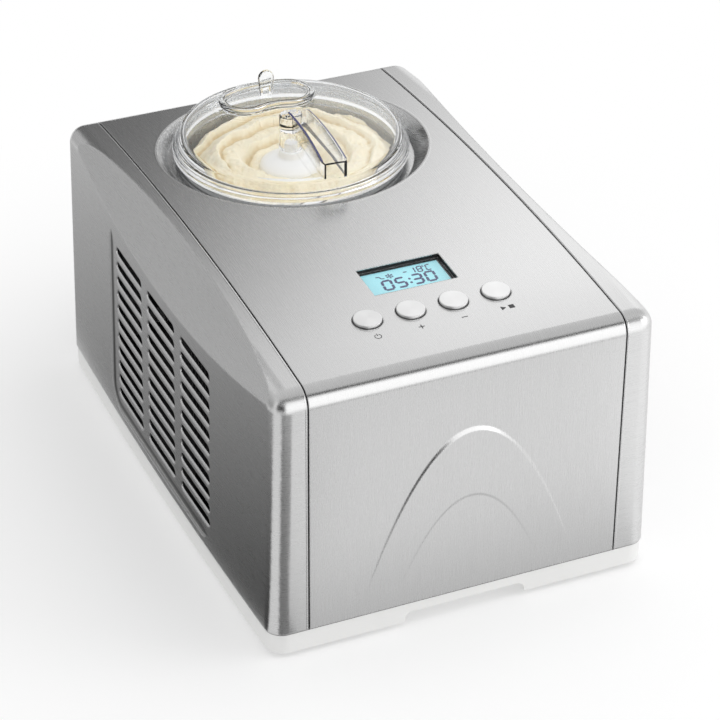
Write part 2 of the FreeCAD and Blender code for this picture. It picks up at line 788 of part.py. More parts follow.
# Rear panel, with its vents, gland and screws.
rear_y = ("rear_face - sheet", "rear_face")
rear_sheet = block("rear_sheet", middle, rear_y, ("panel_low", "rear_top - part_gap"))
rear_slots = [block(f"rear_slot_{row}", ("-rear_slot_length / 2", "rear_slot_length / 2"),
                    ("rear_face - 2 * sheet", "rear_face + sheet"),
                    (f"rear_vent_low + {row} * slot_pitch",
                     f"rear_vent_low + {row} * slot_pitch + slot_height"))
              for row in range(whole("rear_slot_rows"))]
gland_at = ("gland_across", "gland_level")
gland_hole = rod("gland_hole", "gland_radius", "rear_face - 2 * sheet", "rear_face + sheet", gland_at, "Y")
screw_spots = [(f"{side} * screw_across", level) for side in (-1, 1)
               for level in ("panel_low + 4 * screw_head", "(panel_low + rear_top) / 2",
                             "rear_top - 4 * screw_head")]
screw_holes = [rod(f"screw_hole_{index}", "screw_radius + running_gap", "rear_face - 2 * sheet",
                   "rear_face + sheet", spot, "Y")
               for index, spot in enumerate(screw_spots)]
keep("rear_panel", cut("rear", rear_sheet, gland_hole, *rear_slots, *screw_holes))
screws = []
for index, spot in enumerate(screw_spots):
    shank = rod(f"screw_shank_{index}", "screw_radius", "rear_face - screw_length", "rear_face", spot, "Y")
    head = rod(f"screw_head_{index}", "screw_head", "rear_face", "rear_face + screw_radius", spot, "Y",
               "screw_top")
    screws.append(fuse(f"screw_{index}", shank, head))
keep("rear_screws", group("screws", *screws))
gland_body = rod("gland_body", "gland_radius", "rear_face - sheet - 2 * gland_lip", "rear_face", gland_at,
                 "Y")
gland_inner = rod("gland_inner", "gland_radius + gland_lip", "rear_face - sheet - 2 * gland_lip",
                  "rear_face - sheet - gland_lip / 2",
                  gland_at, "Y")
gland_outer = rod("gland_outer", "gland_radius + gland_lip", "rear_face", "rear_face + gland_nose", gland_at,
                  "Y", "gland_radius")
gland_core = rod("gland_core", "gland_bore", "rear_face - 6 * gland_lip",
                 "rear_face + gland_nose + overshoot", gland_at, "Y")
keep("cord_gland", cut("gland", fuse("gland_solid", gland_body, gland_inner, gland_outer), gland_core))


# Base tray on four rubber feet.
def base_block(name, inset, low, high):
    """The base's plan between two levels, drawn in from the casing's foot."""
    body = doc.addObject("PartDesign::Body", name)
    sketch = sketch_on(body, name + "_plan", "XY_Plane", low)
    plan(sketch, f"foot_half_width - {inset}", f"half_length - {inset}", "side_bulge")
    pad = body.newObject("PartDesign::Pad", name + "_pad")
    pad.Profile = sketch
    bind(pad, Length=f"({high}) - ({low})")
    rounded(body, name + "_round", f"base_corner - {inset}",
            lambda edge: edge.BoundBox.ZLength > number("foot_height") / 2)
    return body


base_solid = base_block("base_solid", "base_inset", "foot_height", "panel_low")
base_hollow = base_block("base_hollow", "(base_inset + base_wall)", "foot_height - base_floor",
                         "panel_low - base_floor")
scoop_box = block("scoop_box", ("arch_offset / 2 - scoop_width / 2", "arch_offset / 2 + scoop_width / 2"),
                  ("-half_length - base_wall", "-half_length + 3 * base_wall"),
                  ("0", "foot_height + scoop_rise"))
doc.recompute()
scoop = doc.addObject("Part::Fillet", "scoop")
scoop.Base = scoop_box
scoop_top = number("foot_height + scoop_rise")
scoop.Edges = [(index, number("scoop_round"), number("scoop_round")) for index,
               edge in enumerate(scoop_box.Shape.Edges, start=1)
               if edge.BoundBox.YLength > number("base_wall") and edge.BoundBox.ZMin > scoop_top - 1]
keep("base_tray", cut("base", base_solid, base_hollow, scoop))
feet = [rod(f"foot_{index}", "foot_radius - foot_taper", "0", "panel_low - base_floor",
            (f"{x} * foot_across", f"{y} * foot_along"), "Z", "foot_radius")
        for index, (x, y) in enumerate(((-1, -1), (1, -1), (1, 1), (-1, 1)))]
keep("rubber_feet", group("feet", *feet))

# Mixing bowl, the fixed well that it stands in, and what surrounds the well.
keep("mixing_bowl", turned("bowl", [
    ("shaft_radius + square_gap", "bowl_bottom"), ("bowl_radius", "bowl_bottom"),
    ("bowl_radius", "bowl_rim - bowl_lip"),
    ("bowl_radius + bowl_flange", "bowl_rim - bowl_lip"), ("bowl_radius + bowl_flange", "bowl_rim"),
    ("bowl_inside", "bowl_rim"),
    ("bowl_inside", "bowl_floor"), ("bowl_tube_radius", "bowl_floor"),
    ("bowl_tube_radius", "bowl_tube_top"),
    ("shaft_radius + square_gap", "bowl_tube_top")], y="bowl_along"))
seal_radius = "bush_radius + bush_wall"
keep("bowl_well", turned("well", [
    (seal_radius, "well_bottom"), ("well_outer", "well_bottom"), ("well_outer", "well_seat - well_wall"),
    ("well_outer + well_flange", "well_seat - well_wall"),
    ("well_outer + well_flange", "well_seat - running_gap"),
    ("well_outer", "well_seat - running_gap"), ("well_outer", "well_lip"), ("well_radius", "well_lip"),
    ("well_radius", "well_bottom + well_wall"), (seal_radius, "well_bottom + well_wall")], y="bowl_along"))
bowl_at = ("0", "bowl_along")
keep("shaft_seal", tube("seal", seal_radius, "shaft_radius + running_gap", "well_bottom",
                        "well_bottom + well_wall", bowl_at))
jacket_low = "well_bottom + well_wall * 4"
keep("evaporator_jacket", tube("jacket", "well_outer + jacket_wall", "well_outer + running_gap", jacket_low,
                               "well_seat - well_wall - jacket_drop", bowl_at))
foam_y = ("bowl_along - foam_half + sheet", "bowl_along + foam_half - sheet")
foam_x = ("-foam_half", "foam_half")
foam_block = block("foam_block", foam_x, foam_y, ("foam_low", "well_seat - well_wall - part_gap"))
foam_bore = rod("foam_bore", "well_outer + jacket_wall + part_gap", "well_bottom", "recess_level", bowl_at)
foam_hole = rod("foam_hole", seal_radius, "foam_low - overshoot", "well_bottom + overshoot", bowl_at)
keep("insulation_foam", cut("foam", foam_block, foam_bore, foam_hole))
frame_top = block("frame_top", foam_x, foam_y, ("frame_low", "foam_low"))
legs = [block(f"frame_leg_{index}", x, y, ("panel_low", "frame_low")) for index, (x, y) in enumerate(
    (x, y) for x in (("-foam_half", "-foam_half + frame_leg"), ("foam_half - frame_leg", "foam_half"))
    for y in ((foam_y[0], f"{foam_y[0]} + frame_leg"), (f"{foam_y[1]} - frame_leg", foam_y[1])))]
frame_hole = rod("frame_hole", seal_radius, "frame_low - overshoot", "foam_low + overshoot", bowl_at)
keep("support_frame", cut("frame", fuse("frame_solid", frame_top, *legs), frame_hole))

# Paddle: a bell-shaped hub over the bowl's tube, and a scraping blade with two windows.
hub = turned("paddle_hub", [
    ("sleeve_bore", "bowl_floor + blade_gap"), ("sleeve_bore + sleeve_wall", "bowl_floor + blade_gap"),
    ("sleeve_bore + sleeve_wall", "bowl_tube_top"), ("hub_radius", "hub_shoulder"),
    ("hub_neck_radius", "hub_neck"),
    ("pin_radius", "hub_neck"), ("pin_radius", "pin_top"), ("0", "pin_top"),
    ("0", "bowl_tube_top + part_gap"),
    ("sleeve_bore", "bowl_tube_top + part_gap")], y="bowl_along")
blade_reach = "bowl_inside - blade_gap"
blade_y = ("bowl_along - blade_thickness / 2", "bowl_along + blade_thickness / 2")
blade = block("paddle_blade", (f"-({blade_reach})", blade_reach), blade_y,
              ("bowl_floor + blade_gap", "blade_top"))
windows = []
for side, sign in (("left", -1), ("right", 1)):
    across = mirrored(sign, "hub_radius + blade_rim / 2", f"{blade_reach} - blade_rim")
    windows.append(block(f"paddle_window_{side}", across,
                         ("bowl_along - blade_thickness", "bowl_along + blade_thickness"),
                         ("bowl_floor + blade_gap + blade_rim", "blade_top - blade_rim")))
sleeve_room = rod("paddle_room", "sleeve_bore", "bowl_bottom", "bowl_tube_top + part_gap", bowl_at)
socket_half = "(shaft_square + square_gap) / 2"
socket = block("paddle_socket", (f"-{socket_half}", socket_half),
               (f"bowl_along - {socket_half}", f"bowl_along + {socket_half}"),
               ("bowl_tube_top", "socket_top"))
keep("paddle", cut("paddle_piece", fuse("paddle_solid", hub, blade), *windows, sleeve_room, socket))

# Clear lid: stepped rim, straight wall, hollow handle ridge, filler collar and a boss for the paddle's pin.
lid_shell = turned("lid_shell", [
    ("skirt_radius - lid_wall", "lid_low - lid_skirt"), ("skirt_radius", "lid_low - lid_skirt"),
    ("skirt_radius", "lid_low"),
    ("lid_rim_radius", "lid_low"), ("lid_rim_radius", "lid_step_low"),
    ("lid_rim_radius - lid_step", "lid_step_low"),
    ("lid_rim_radius - lid_step", "lid_wall_low"), ("lid_wall_radius", "lid_wall_low"),
    ("lid_wall_radius - lid_draft", "lid_top - lid_round"),
    ("lid_wall_radius - lid_draft - lid_round", "lid_top"), ("0", "lid_top"),
    ("0", "lid_under"), ("skirt_radius - lid_wall - lid_round", "lid_under"),
    ("skirt_radius - lid_wall", "lid_under - lid_round")], y="bowl_along")


def kidney(name, half, low, high):
    """A bean-shaped prism, bent round the bowl's axis behind it."""
    spread = number("filler_angle")
    outer = rod(name + "_outer", f"filler_arc + {half}", low, high, bowl_at)
    inner = rod(name + "_inner", f"filler_arc - ({half})", f"{low} - overshoot", f"{high} + overshoot",
                bowl_at)
    for item in (outer, inner):
        bind(item, Angle="2 * filler_angle")
        item.Placement = Placement(Vector(), Rotation(Vector(0, 0, 1), 90 - spread))
        item.setExpression("Placement.Rotation.Angle", words("90 - filler_angle"))
    end_y = "bowl_along + filler_arc * cos(filler_angle)"
    ends = [rod(f"{name}_end_{side}", half, low, high, (f"{side} * filler_arc * sin(filler_angle)", end_y))
            for side in (-1, 1)]
    return fuse(name, cut(name + "_sector", outer, inner), *ends)


def ridge_block(name, inset, low):
    """The handle ridge's outside, or its inside when inset by the wall, crowned along its top."""
    x = (f"ridge_offset - ridge_half + {inset}", f"ridge_offset + ridge_half - {inset}")
    y = (f"bowl_along - ridge_front + {inset}", f"bowl_along + ridge_back - {inset}")
    solid = block(name + "_block", x, y, (low, "lid_top + ridge_rise + ridge_crown"))
    middle_y = "bowl_along + (ridge_back - ridge_front) / 2"
    crown = rod(name + "_crown", f"ridge_radius - {inset}", *x, (middle_y, "ridge_centre"), "X")
    return common(name, solid, crown)


ridge = ridge_block("lid_ridge", "0", "lid_under")
ridge_hollow = ridge_block("lid_ridge_hollow", "lid_wall", "lid_under - overshoot")
boss_bore = "pin_radius + part_gap"
boss = rod("lid_boss", f"{boss_bore} + boss_wall", "boss_low", "lid_top + ridge_rise", bowl_at)
boss_hole = rod("lid_boss_hole", boss_bore, "boss_low - overshoot", "lid_under", bowl_at)
collar = kidney("lid_collar", "filler_half + lid_wall", "lid_under", "collar_top")
filler = kidney("lid_filler", "filler_half", "lid_under - overshoot", "collar_top + overshoot")
ridged = cut("lid_ridged", fuse("lid_with_ridge", lid_shell, ridge, collar), ridge_hollow)
keep("lid", cut("lid_piece", fuse("lid_with_boss", ridged, boss), boss_hole, filler))

cap_plate = kidney("cap_plate", "filler_half + lid_wall + cap_lip", "cap_low", "cap_top")
plug = kidney("cap_plug", "plug_half", "cap_low - cap_skirt", "cap_low + cap_thickness / 2")
plug_hollow = kidney("cap_hollow", "plug_half - lid_wall", "cap_low - cap_skirt - overshoot", "cap_low")
tab_y = ("bowl_along + tab_along - tab_thickness / 2", "bowl_along + tab_along + tab_thickness / 2")
tab_level = "cap_top + tab_rise - tab_half"
tab = block("cap_tab", ("-tab_half", "tab_half"), tab_y, ("cap_top - cap_thickness / 2", tab_level))
tab_round = rod("cap_tab_round", "tab_half", *tab_y, ("0", tab_level), "Y")
keep("filler_cap", cut("cap", fuse("cap_solid", cap_plate, plug, tab, tab_round), plug_hollow))


# Drive: motor, two gear stages and the upright shaft that turns the paddle.
FLANK_STEPS = 3


def gear(name, teeth, width, low, at, bore, tooth_at):
    """A spur gear with involute flanks, one tooth centred at a given angle."""
    count, module, gap = whole(teeth), number("gear_module"), number("gear_backlash")
    pitch = module * count / 2
    base = pitch * math.cos(math.radians(number("pressure_angle")))
    root, tip = pitch - number("tooth_below") * module, pitch + number("tooth_above") * module

    def unwound(radius):
        angle = math.acos(min(1.0, base / radius))
        return math.tan(angle) - angle

    half = math.pi / (2 * count) - gap / (4 * pitch) + unwound(pitch)
    start = max(base, root)
    levels_up = [start + (tip - start) * step / FLANK_STEPS for step in range(FLANK_STEPS + 1)]
    flank = [(radius, half - unwound(radius)) for radius in levels_up]
    flank.insert(0, (root, flank[0][1]))
    points = []
    for tooth in range(count):
        middle_angle = math.radians(tooth_at) + 2 * math.pi * tooth / count
        for radius, turn in [(r, -t) for r, t in flank] + [(r, t) for r, t in reversed(flank)]:
            angle = middle_angle + turn
            points.append(Vector(radius * math.cos(angle), radius * math.sin(angle), 0))
    face = Part.Face(Part.makePolygon(points + points[:1]))
    solid = face.extrude(Vector(0, 0, number(width)))
    hole = Part.makeCylinder(number(bore), number(width))
    item = made(name, solid.cut(hole))
    return place(item, *at, low)


def half_tooth(teeth):
    """Half a tooth's share of the turn, in degrees."""
    return 180 / whole(teeth)


motor_at = ("0", "motor_along")
idler_at = ("0", "idler_along")

shaft_round = rod("shaft_round", "shaft_radius", "gearbox_low + part_gap", "bowl_tube_top", bowl_at)
tongue_half = "shaft_square / 2"
shaft_tongue = block("shaft_tongue_block", (f"-{tongue_half}", tongue_half),
                     (f"bowl_along - {tongue_half}", f"bowl_along + {tongue_half}"),
                     ("bowl_tube_top - shaft_square", "bowl_tube_top + part_gap + shaft_tongue"))
keep("drive_shaft", fuse("shaft", shaft_round, shaft_tongue))
keep("output_gear", gear("gear_output", "output_teeth", "gear_width", "output_level", bowl_at,
                         "shaft_radius + running_gap / 2",
                         half_tooth("output_teeth") - 90))
small = gear("gear_small", "small_teeth", "gear_width + gear_clear", "output_level", idler_at,
             "idler_radius + running_gap", 90)
large = gear("gear_large", "large_teeth", "gear_width", "large_level", idler_at,
             "idler_radius + running_gap",
             half_tooth("large_teeth") - 90)
keep("intermediate_gear", fuse("gear_idler", small, large))
keep("idler_pin", rod("idler", "idler_radius", "gearbox_low", "gear_top - part_gap", idler_at))
pinion = gear("gear_pinion", "pinion_teeth", "gear_width", "large_level", motor_at, "motor_shaft / 2", 90)
motor_spindle = rod("motor_spindle", "motor_shaft", "motor_low + motor_wall / 2",
                    "large_level + gear_width", motor_at)
rotor_core = rod("rotor_core", "motor_radius - motor_wall - rotor_gap",
                 "motor_low + motor_wall + rotor_gap",
                 "gearbox_low - motor_wall - rotor_gap", motor_at)
keep("motor_rotor", fuse("rotor", pinion, motor_spindle, rotor_core))
can = rod("motor_can_solid", "motor_radius", "motor_low", "gearbox_low", motor_at)
can_room = rod("motor_can_room", "motor_radius - motor_wall", "motor_low + motor_wall",
               "gearbox_low - motor_wall", motor_at)
can_hole = rod("motor_can_hole", "motor_shaft + running_gap", "motor_low + motor_wall / 2 - part_gap",
               "gearbox_low + overshoot", motor_at)
keep("drive_motor", cut("motor_can", can, can_room, can_hole))
box_x = "output_reach + gear_clear + gearbox_wall"
box_y = ("motor_along - gear_clear - gearbox_wall - motor_shaft * 3", f"bowl_along + {box_x}")
gearbox_solid = block("gearbox_solid", (f"-({box_x})", box_x), box_y, ("gearbox_low", "gear_top"))
gearbox_room = block("gearbox_room", (f"-({box_x} - gearbox_wall)", f"{box_x} - gearbox_wall"),
                     (f"{box_y[0]} + gearbox_wall", f"{box_y[1]} - gearbox_wall"),
                     ("gear_floor", "gear_top + overshoot"))
floor_holes = [rod("gearbox_bush_hole", "bush_radius", "gearbox_low - overshoot", "gear_floor + overshoot",
                   bowl_at),
               rod("gearbox_pin_hole", "idler_radius", "gearbox_low - overshoot", "gear_floor + overshoot",
                   idler_at),
               rod("gearbox_motor_hole", "motor_shaft + rotor_gap", "gearbox_low - overshoot",
                   "gear_floor + overshoot", motor_at)]
keep("gearbox_housing", cut("gearbox", gearbox_solid, gearbox_room, *floor_holes))
cover_solid = block("cover_solid", (f"-({box_x})", box_x), box_y, ("gear_top", "frame_low"))
cover_hole = rod("cover_hole", "bush_radius", "gear_top - overshoot", "frame_low + overshoot", bowl_at)
keep("gearbox_cover", cut("cover", cover_solid, cover_hole))
lower_bush = tube("bush_low", "bush_radius", "shaft_radius + running_gap", "gearbox_low",
                  "gear_floor + part_gap", bowl_at)
upper_bush = tube("bush_high", "bush_radius", "shaft_radius + running_gap", "gear_top - part_gap",
                  "frame_low", bowl_at)
keep("shaft_bushes", group("bushes", lower_bush, upper_bush))

# Compressor on rubber mounts.
compressor_at = ("compressor_across", "compressor_along")
waist = "compressor_low + compressor_height / 2"
compressor_shell = turned("compressor_shell", [
    ("0", "compressor_low"), ("compressor_radius - compressor_chamfer", "compressor_low"),
    ("compressor_radius", "compressor_low + compressor_chamfer"), ("compressor_radius", waist),
    ("compressor_radius + compressor_seam", waist),
    ("compressor_radius + compressor_seam", f"{waist} + compressor_seam"),
    ("compressor_radius", f"{waist} + compressor_seam"),
    ("compressor_radius", "compressor_top - dome_height"),
    ("compressor_radius - dome_bend", "compressor_top - dome_drop"), ("dome_flat", "compressor_top"),
    ("0", "compressor_top")], *compressor_at)
keep("compressor", compressor_shell)
plate_half = "mount_half + mount_radius"
plate_x = [f"compressor_across {sign} ({plate_half})" for sign in "-+"]
plate_y = [f"compressor_along {sign} ({plate_half})" for sign in "-+"]
keep("compressor_plate", block("compressor_feet", plate_x, plate_y,
                               ("panel_low + mount_height", "compressor_low")))
mounts = [rod(f"mount_{index}", "mount_radius", "panel_low", "panel_low + mount_height",
              (f"compressor_across + {x} * mount_half", f"compressor_along + {y} * mount_half"), "Z",
              "mount_top")
          for index, (x, y) in enumerate(((-1, -1), (1, -1), (1, 1), (-1, 1)))]
keep("compressor_mounts", group("mounts", *mounts))

# Condenser: upright fins on level tubes between two end plates.
condenser_x = ("condenser_across", "condenser_inner")
tall = ("panel_low", "condenser_top")
count = whole("fin_count")
fin_step = f"(2 * condenser_half - fin_thickness) / {count - 1}"
fins = [block(f"fin_{index}", condenser_x, (f"condenser_front + {index} * {fin_step}",
                                            f"condenser_front + {index} * {fin_step} + fin_thickness"),
              tall) for index in range(count)]
tubes = whole("tube_count")
levels = [f"panel_low + condenser_height * {index + 0.5} / {tubes}" for index in range(tubes)]
condenser_middle = "condenser_across + condenser_thickness / 2"
runs = [rod(f"condenser_tube_{index}", "tube_radius", "condenser_front", "condenser_back",
            (condenser_middle, level), "Y")
        for index, level in enumerate(levels)]
header = block("condenser_header", condenser_x, ("condenser_front", "condenser_back"),
               ("condenser_top - 2 * fin_thickness", "condenser_top"))
keep("condenser", fuse("condenser_piece", *fins, *runs, header))

# Fan behind the condenser, in its shroud, on a motor held by a bracket.
fan_at = ("condenser_along", "fan_level")
shroud_x = ("condenser_inner + shroud_gap", "shroud_face")
shroud_plate = block("shroud_plate", shroud_x, ("condenser_front", "condenser_back"), tall)
shroud_hole = rod("shroud_hole", "fan_radius + fan_gap", "condenser_inner", "shroud_face + overshoot",
                  fan_at, "X")
shroud_feet = block("shroud_feet", ("condenser_inner", "condenser_inner + 2 * shroud_gap"),
                    ("condenser_front", "condenser_back"),
                    ("panel_low", "panel_low + 2 * shroud_wall"))
keep("fan_shroud", cut("shroud", fuse("shroud_solid", shroud_plate, shroud_feet), shroud_hole))


def fan_blade(index):
    """One flat blade set round the hub at the fan's pitch."""
    depth, hub, sheet_width = number("fan_depth"), number("fan_hub"), number("fan_blade_sheet")
    chord = number("fan_blade_fill") * depth / math.sin(math.radians(number("fan_pitch")))
    corner = Vector(-sheet_width / 2, -chord / 2, hub / 2)
    solid = Part.makeBox(sheet_width, chord, number("fan_radius"), corner)
    solid.rotate(Vector(), Vector(0, 0, 1), 90 - number("fan_pitch"))
    solid.rotate(Vector(), Vector(1, 0, 0), 360 * index / whole("fan_blades"))
    edge = Part.makeCylinder(number("fan_radius"), depth, Vector(-depth / 2, 0, 0), Vector(1, 0, 0))
    return place(made(f"fan_blade_{index}", solid.common(edge)), "fan_face + fan_depth / 2", *fan_at)


blades = [fan_blade(index) for index in range(whole("fan_blades"))]
fan_boss = rod("fan_boss", "fan_hub", "fan_face", "fan_face + fan_depth", fan_at, "X")
fan_spindle = rod("fan_spindle", "fan_shaft", "fan_face", "fan_motor_back - motor_wall", fan_at, "X")
fan_core = rod("fan_core", "fan_motor_radius - motor_wall - rotor_gap",
               "fan_motor_face + motor_wall + rotor_gap",
               "fan_motor_back - motor_wall - rotor_gap", fan_at, "X")
keep("fan_rotor", fuse("fan", fan_boss, fan_spindle, fan_core, *blades))
fan_can = rod("fan_can", "fan_motor_radius", "fan_motor_face", "fan_motor_back", fan_at, "X")
fan_can_room = rod("fan_can_room", "fan_motor_radius - motor_wall", "fan_motor_face + motor_wall",
                   "fan_motor_back - motor_wall", fan_at, "X")
fan_can_hole = rod("fan_can_hole", "fan_shaft + running_gap", "fan_motor_face - overshoot",
                   "fan_motor_back - motor_wall + part_gap", fan_at, "X")
keep("fan_motor", cut("fan_motor_piece", fan_can, fan_can_room, fan_can_hole))
bracket_x = ("fan_motor_back", "fan_motor_back + shroud_wall")
bracket_y = ("condenser_along - bracket_half", "condenser_along + bracket_half")
bracket_plate = block("bracket_plate", bracket_x, bracket_y, ("panel_low", "fan_level + bracket_half"))
bracket_foot = block("bracket_foot", ("fan_motor_back", "fan_motor_back + bracket_half / 2"), bracket_y,
                     ("panel_low", "panel_low + shroud_wall"))
keep("fan_bracket", fuse("bracket", bracket_plate, bracket_foot))


# Refrigerant pipes: straight runs joined by tangent bends.
def pipe(name, points):
    """A round pipe through points, each inner point rounded by the bend."""
    stops = [Vector(*(number(text) for text in point)) for point in points]
    bend, radius = number("pipe_bend"), number("pipe_radius")
    edges = []
    start = stops[0]
    for before, corner, after in zip(stops, stops[1:], stops[2:]):
        towards, away = (before - corner).normalize(), (after - corner).normalize()
        half_turn = (math.pi - towards.getAngle(away)) / 2
        set_back = bend * math.tan(half_turn)
        first, last = corner + towards * set_back, corner + away * set_back
        inward = (towards + away).normalize()
        middle_point = corner + inward * (bend / math.cos(half_turn) - bend)
        edges.append(Part.makeLine(start, first))
        edges.append(Part.Arc(first, middle_point, last).toShape())
        start = last
    edges.append(Part.makeLine(start, stops[-1]))
    path = Part.Wire(edges)
    ring = Part.Wire(Part.makeCircle(radius, stops[0], stops[1] - stops[0]))
    return made(name, path.makePipeShell([ring], True, False))


foam_front = "bowl_along - foam_half + sheet"
side_level = "compressor_top - stub_drop"
riser = "2 * pipe_bend + 2 * pipe_radius"
keep("suction_pipe", pipe("suction", [
    ("compressor_across", foam_front, f"{side_level} + 4 * pipe_bend"),
    ("compressor_across", f"{foam_front} - {riser}", f"{side_level} + 4 * pipe_bend"),
    ("compressor_across", f"{foam_front} - {riser}", side_level),
    ("compressor_across", "compressor_along + compressor_radius - pipe_overlap", side_level)]))
over_fan = f"condenser_top + {riser}"
keep("discharge_pipe", pipe("discharge", [
    ("compressor_across - compressor_radius + pipe_overlap", "compressor_along", side_level),
    (f"compressor_across - compressor_radius - {riser}", "compressor_along", side_level),
    (f"compressor_across - compressor_radius - {riser}", "compressor_along", over_fan),
    (condenser_middle, "compressor_along", over_fan),
    (condenser_middle, "compressor_along", "condenser_top")]))
keep("filter_drier", rod("drier", "drier_radius", "drier_low", "drier_low + drier_length",
                         ("drier_across", "drier_along")))
keep("condenser_outlet_pipe", pipe("outlet", [
    (condenser_middle, "condenser_back", levels[0]), (condenser_middle, "drier_along", levels[0]),
    ("drier_across", "drier_along", levels[0]), ("drier_across", "drier_along", "drier_low")]))
keep("liquid_pipe", pipe("liquid", [
    ("drier_across", "drier_along", "drier_low + drier_length"),
    ("drier_across", "drier_along", "well_bottom + 2 * foam_floor"),
    ("drier_across", foam_front, "well_bottom + 2 * foam_floor")]))

# Controls: carrier under the sloping top, display, four buttons, board and switches.
carrier_x = ("-carrier_half_width", "carrier_half_width")
carrier_y = ("-carrier_half_length", "carrier_half_length")
carrier_solid = block("carrier_solid", carrier_x, carrier_y, ("-carrier_depth", "carrier_top"))
carrier_room = block("carrier_room", [f"{limit} {sign} carrier_wall" for limit,
                                      sign in zip(carrier_x, "+-")],
                     [f"{limit} {sign} carrier_wall" for limit, sign in zip(carrier_y, "+-")],
                     ("-carrier_depth + carrier_wall", "0"))
stem_holes = [rod(f"stem_hole_{name}", "stem_radius + stem_gap", "-2 * carrier_depth", "0",
                  (button_x(index), "-button_behind"))
              for index, name in enumerate(BUTTONS)]
posts = [rod(f"carrier_post_{index}", "post_radius", "board_top", "-carrier_depth",
             (f"{x} * (carrier_half_width - 4 * post_radius)",
              f"{y} * (carrier_half_length - 2 * post_radius)"))
         for index, (x, y) in enumerate(((-1, -1), (1, -1), (1, 1), (-1, 1)))]
keep("control_carrier", control_place(cut("carrier", fuse("carrier_with_posts", carrier_solid, *posts),
                                          carrier_room, *stem_holes)))


def display_block(name, grow, low, high):
    """A block centred on the display, larger than its window by a margin on each side."""
    return block(name, (f"-(display_width / 2 + {grow})", f"display_width / 2 + {grow}"),
                 (f"display_ahead - display_length / 2 - ({grow})",
                  f"display_ahead + display_length / 2 + {grow}"), (low, high))


frame_base = "-carrier_depth + carrier_wall"
window_low = "-sheet - window_recess - window_thickness"
display_solid = display_block("display_solid", "display_rim", frame_base, "carrier_top")
display_top = display_block("display_top", "0", window_low, "0")
display_neck = display_block("display_neck", "-window_recess", f"{frame_base} - overshoot", "0")
module_room = display_block("module_room", "module_rim + part_gap", f"{frame_base} - overshoot",
                            f"{frame_base} + module_height + part_gap / 2")
keep("display_frame", control_place(cut("frame_of_display", display_solid, display_top, display_neck,
                                        module_room)))
window = display_block("window", "-part_gap", window_low, f"{window_low} + window_thickness")
keep("display_window", control_place(group("window_piece", window)))
module = display_block("module", "module_rim", frame_base, f"{frame_base} + module_height")
keep("display_module", control_place(group("module_piece", module)))
for index, name in enumerate(BUTTONS):
    spot = (button_x(index), "-button_behind")
    cap_face = rod(f"{name}_cap", "button_radius", "flange_top - button_flange", "button_rise", spot)
    doc.recompute()
    soft_cap = doc.addObject("Part::Fillet", f"{name}_soft_cap")
    soft_cap.Base = cap_face
    crest = number("button_rise")
    soft_cap.Edges = [(place_in_list, number("button_stop"), number("button_stop"))
                      for place_in_list, edge in enumerate(cap_face.Shape.Edges,
                                                           start=1) if edge.BoundBox.ZMin > crest - 0.1]
    flange = rod(f"{name}_flange", "button_radius + button_gap + button_flange",
                 "flange_top - button_flange", "flange_top", spot)
    stem = rod(f"{name}_stem", "stem_radius", "flange_top - button_flange - stem_length", "flange_top",
               spot)
    keep(f"button_{name}", control_place(fuse(f"{name}_button", soft_cap, flange, stem)))
board_x = ("-carrier_half_width + 2 * carrier_wall", "carrier_half_width - 2 * carrier_wall")
board_y = ("-carrier_half_length + carrier_wall", "carrier_half_length - carrier_wall")
board = block("board", board_x, board_y, ("board_top - board_thickness", "board_top"))
keep("control_board", control_place(group("board_piece", board)))
switches = [block(f"switch_{name}", (f"{button_x(index)} - switch_size / 2",
                                     f"{button_x(index)} + switch_size / 2"),
                  ("-button_behind - switch_size / 2", "-button_behind + switch_size / 2"),
                  ("board_top", "board_top + switch_height"))
            for index, name in enumerate(BUTTONS)]
keep("tact_switches", control_place(group("switches", *switches)))

# Power board on posts beside the compressor.
power_x = ("power_across - power_half_width", "power_across + power_half_width")
power_y = ("power_along - power_half_length", "power_along + power_half_length")
power_sheet = block("power_sheet", power_x, power_y, ("power_level", "power_level + board_thickness"))
power_posts = [rod(f"power_post_{index}", "post_radius", "panel_low", "power_level",
                   (f"power_across + {x} * (power_half_width - 2 * post_radius)",
                    f"power_along + {y} * (power_half_length - 2 * post_radius)"))
               for index, (x, y) in enumerate(((-1, -1), (1, -1), (1, 1), (-1, 1)))]
transformer = block("transformer", ("power_across - power_half_width / 2",
                                    "power_across + power_half_width / 4"),
                    ("power_along - power_half_length / 2", "power_along + power_half_length / 2"),
                    ("power_level + board_thickness", "power_level + board_thickness + power_half_length"))
keep("power_board", fuse("power", power_sheet, transformer, *power_posts))

doc.recompute()
failed = [item.Name for item in doc.Objects if "Invalid" in item.State or "Error" in item.State]
failed += [label for label, item in pieces.items()
           if item.Shape.isNull() or not item.Shape.isValid() or not item.Shape.Solids]
if failed:
    raise RuntimeError("failed: " + ", ".join(failed))
os.makedirs("parts", exist_ok=True)
for label, item in pieces.items():
    item.Shape.exportStep(f"parts/{label}.step")
print(len(pieces), "sub-parts")
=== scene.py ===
# Looks of the countertop ice cream maker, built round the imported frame. Lengths below are in millimetres.
import bmesh
import bpy
import math
from mathutils import Matrix, Vector, noise


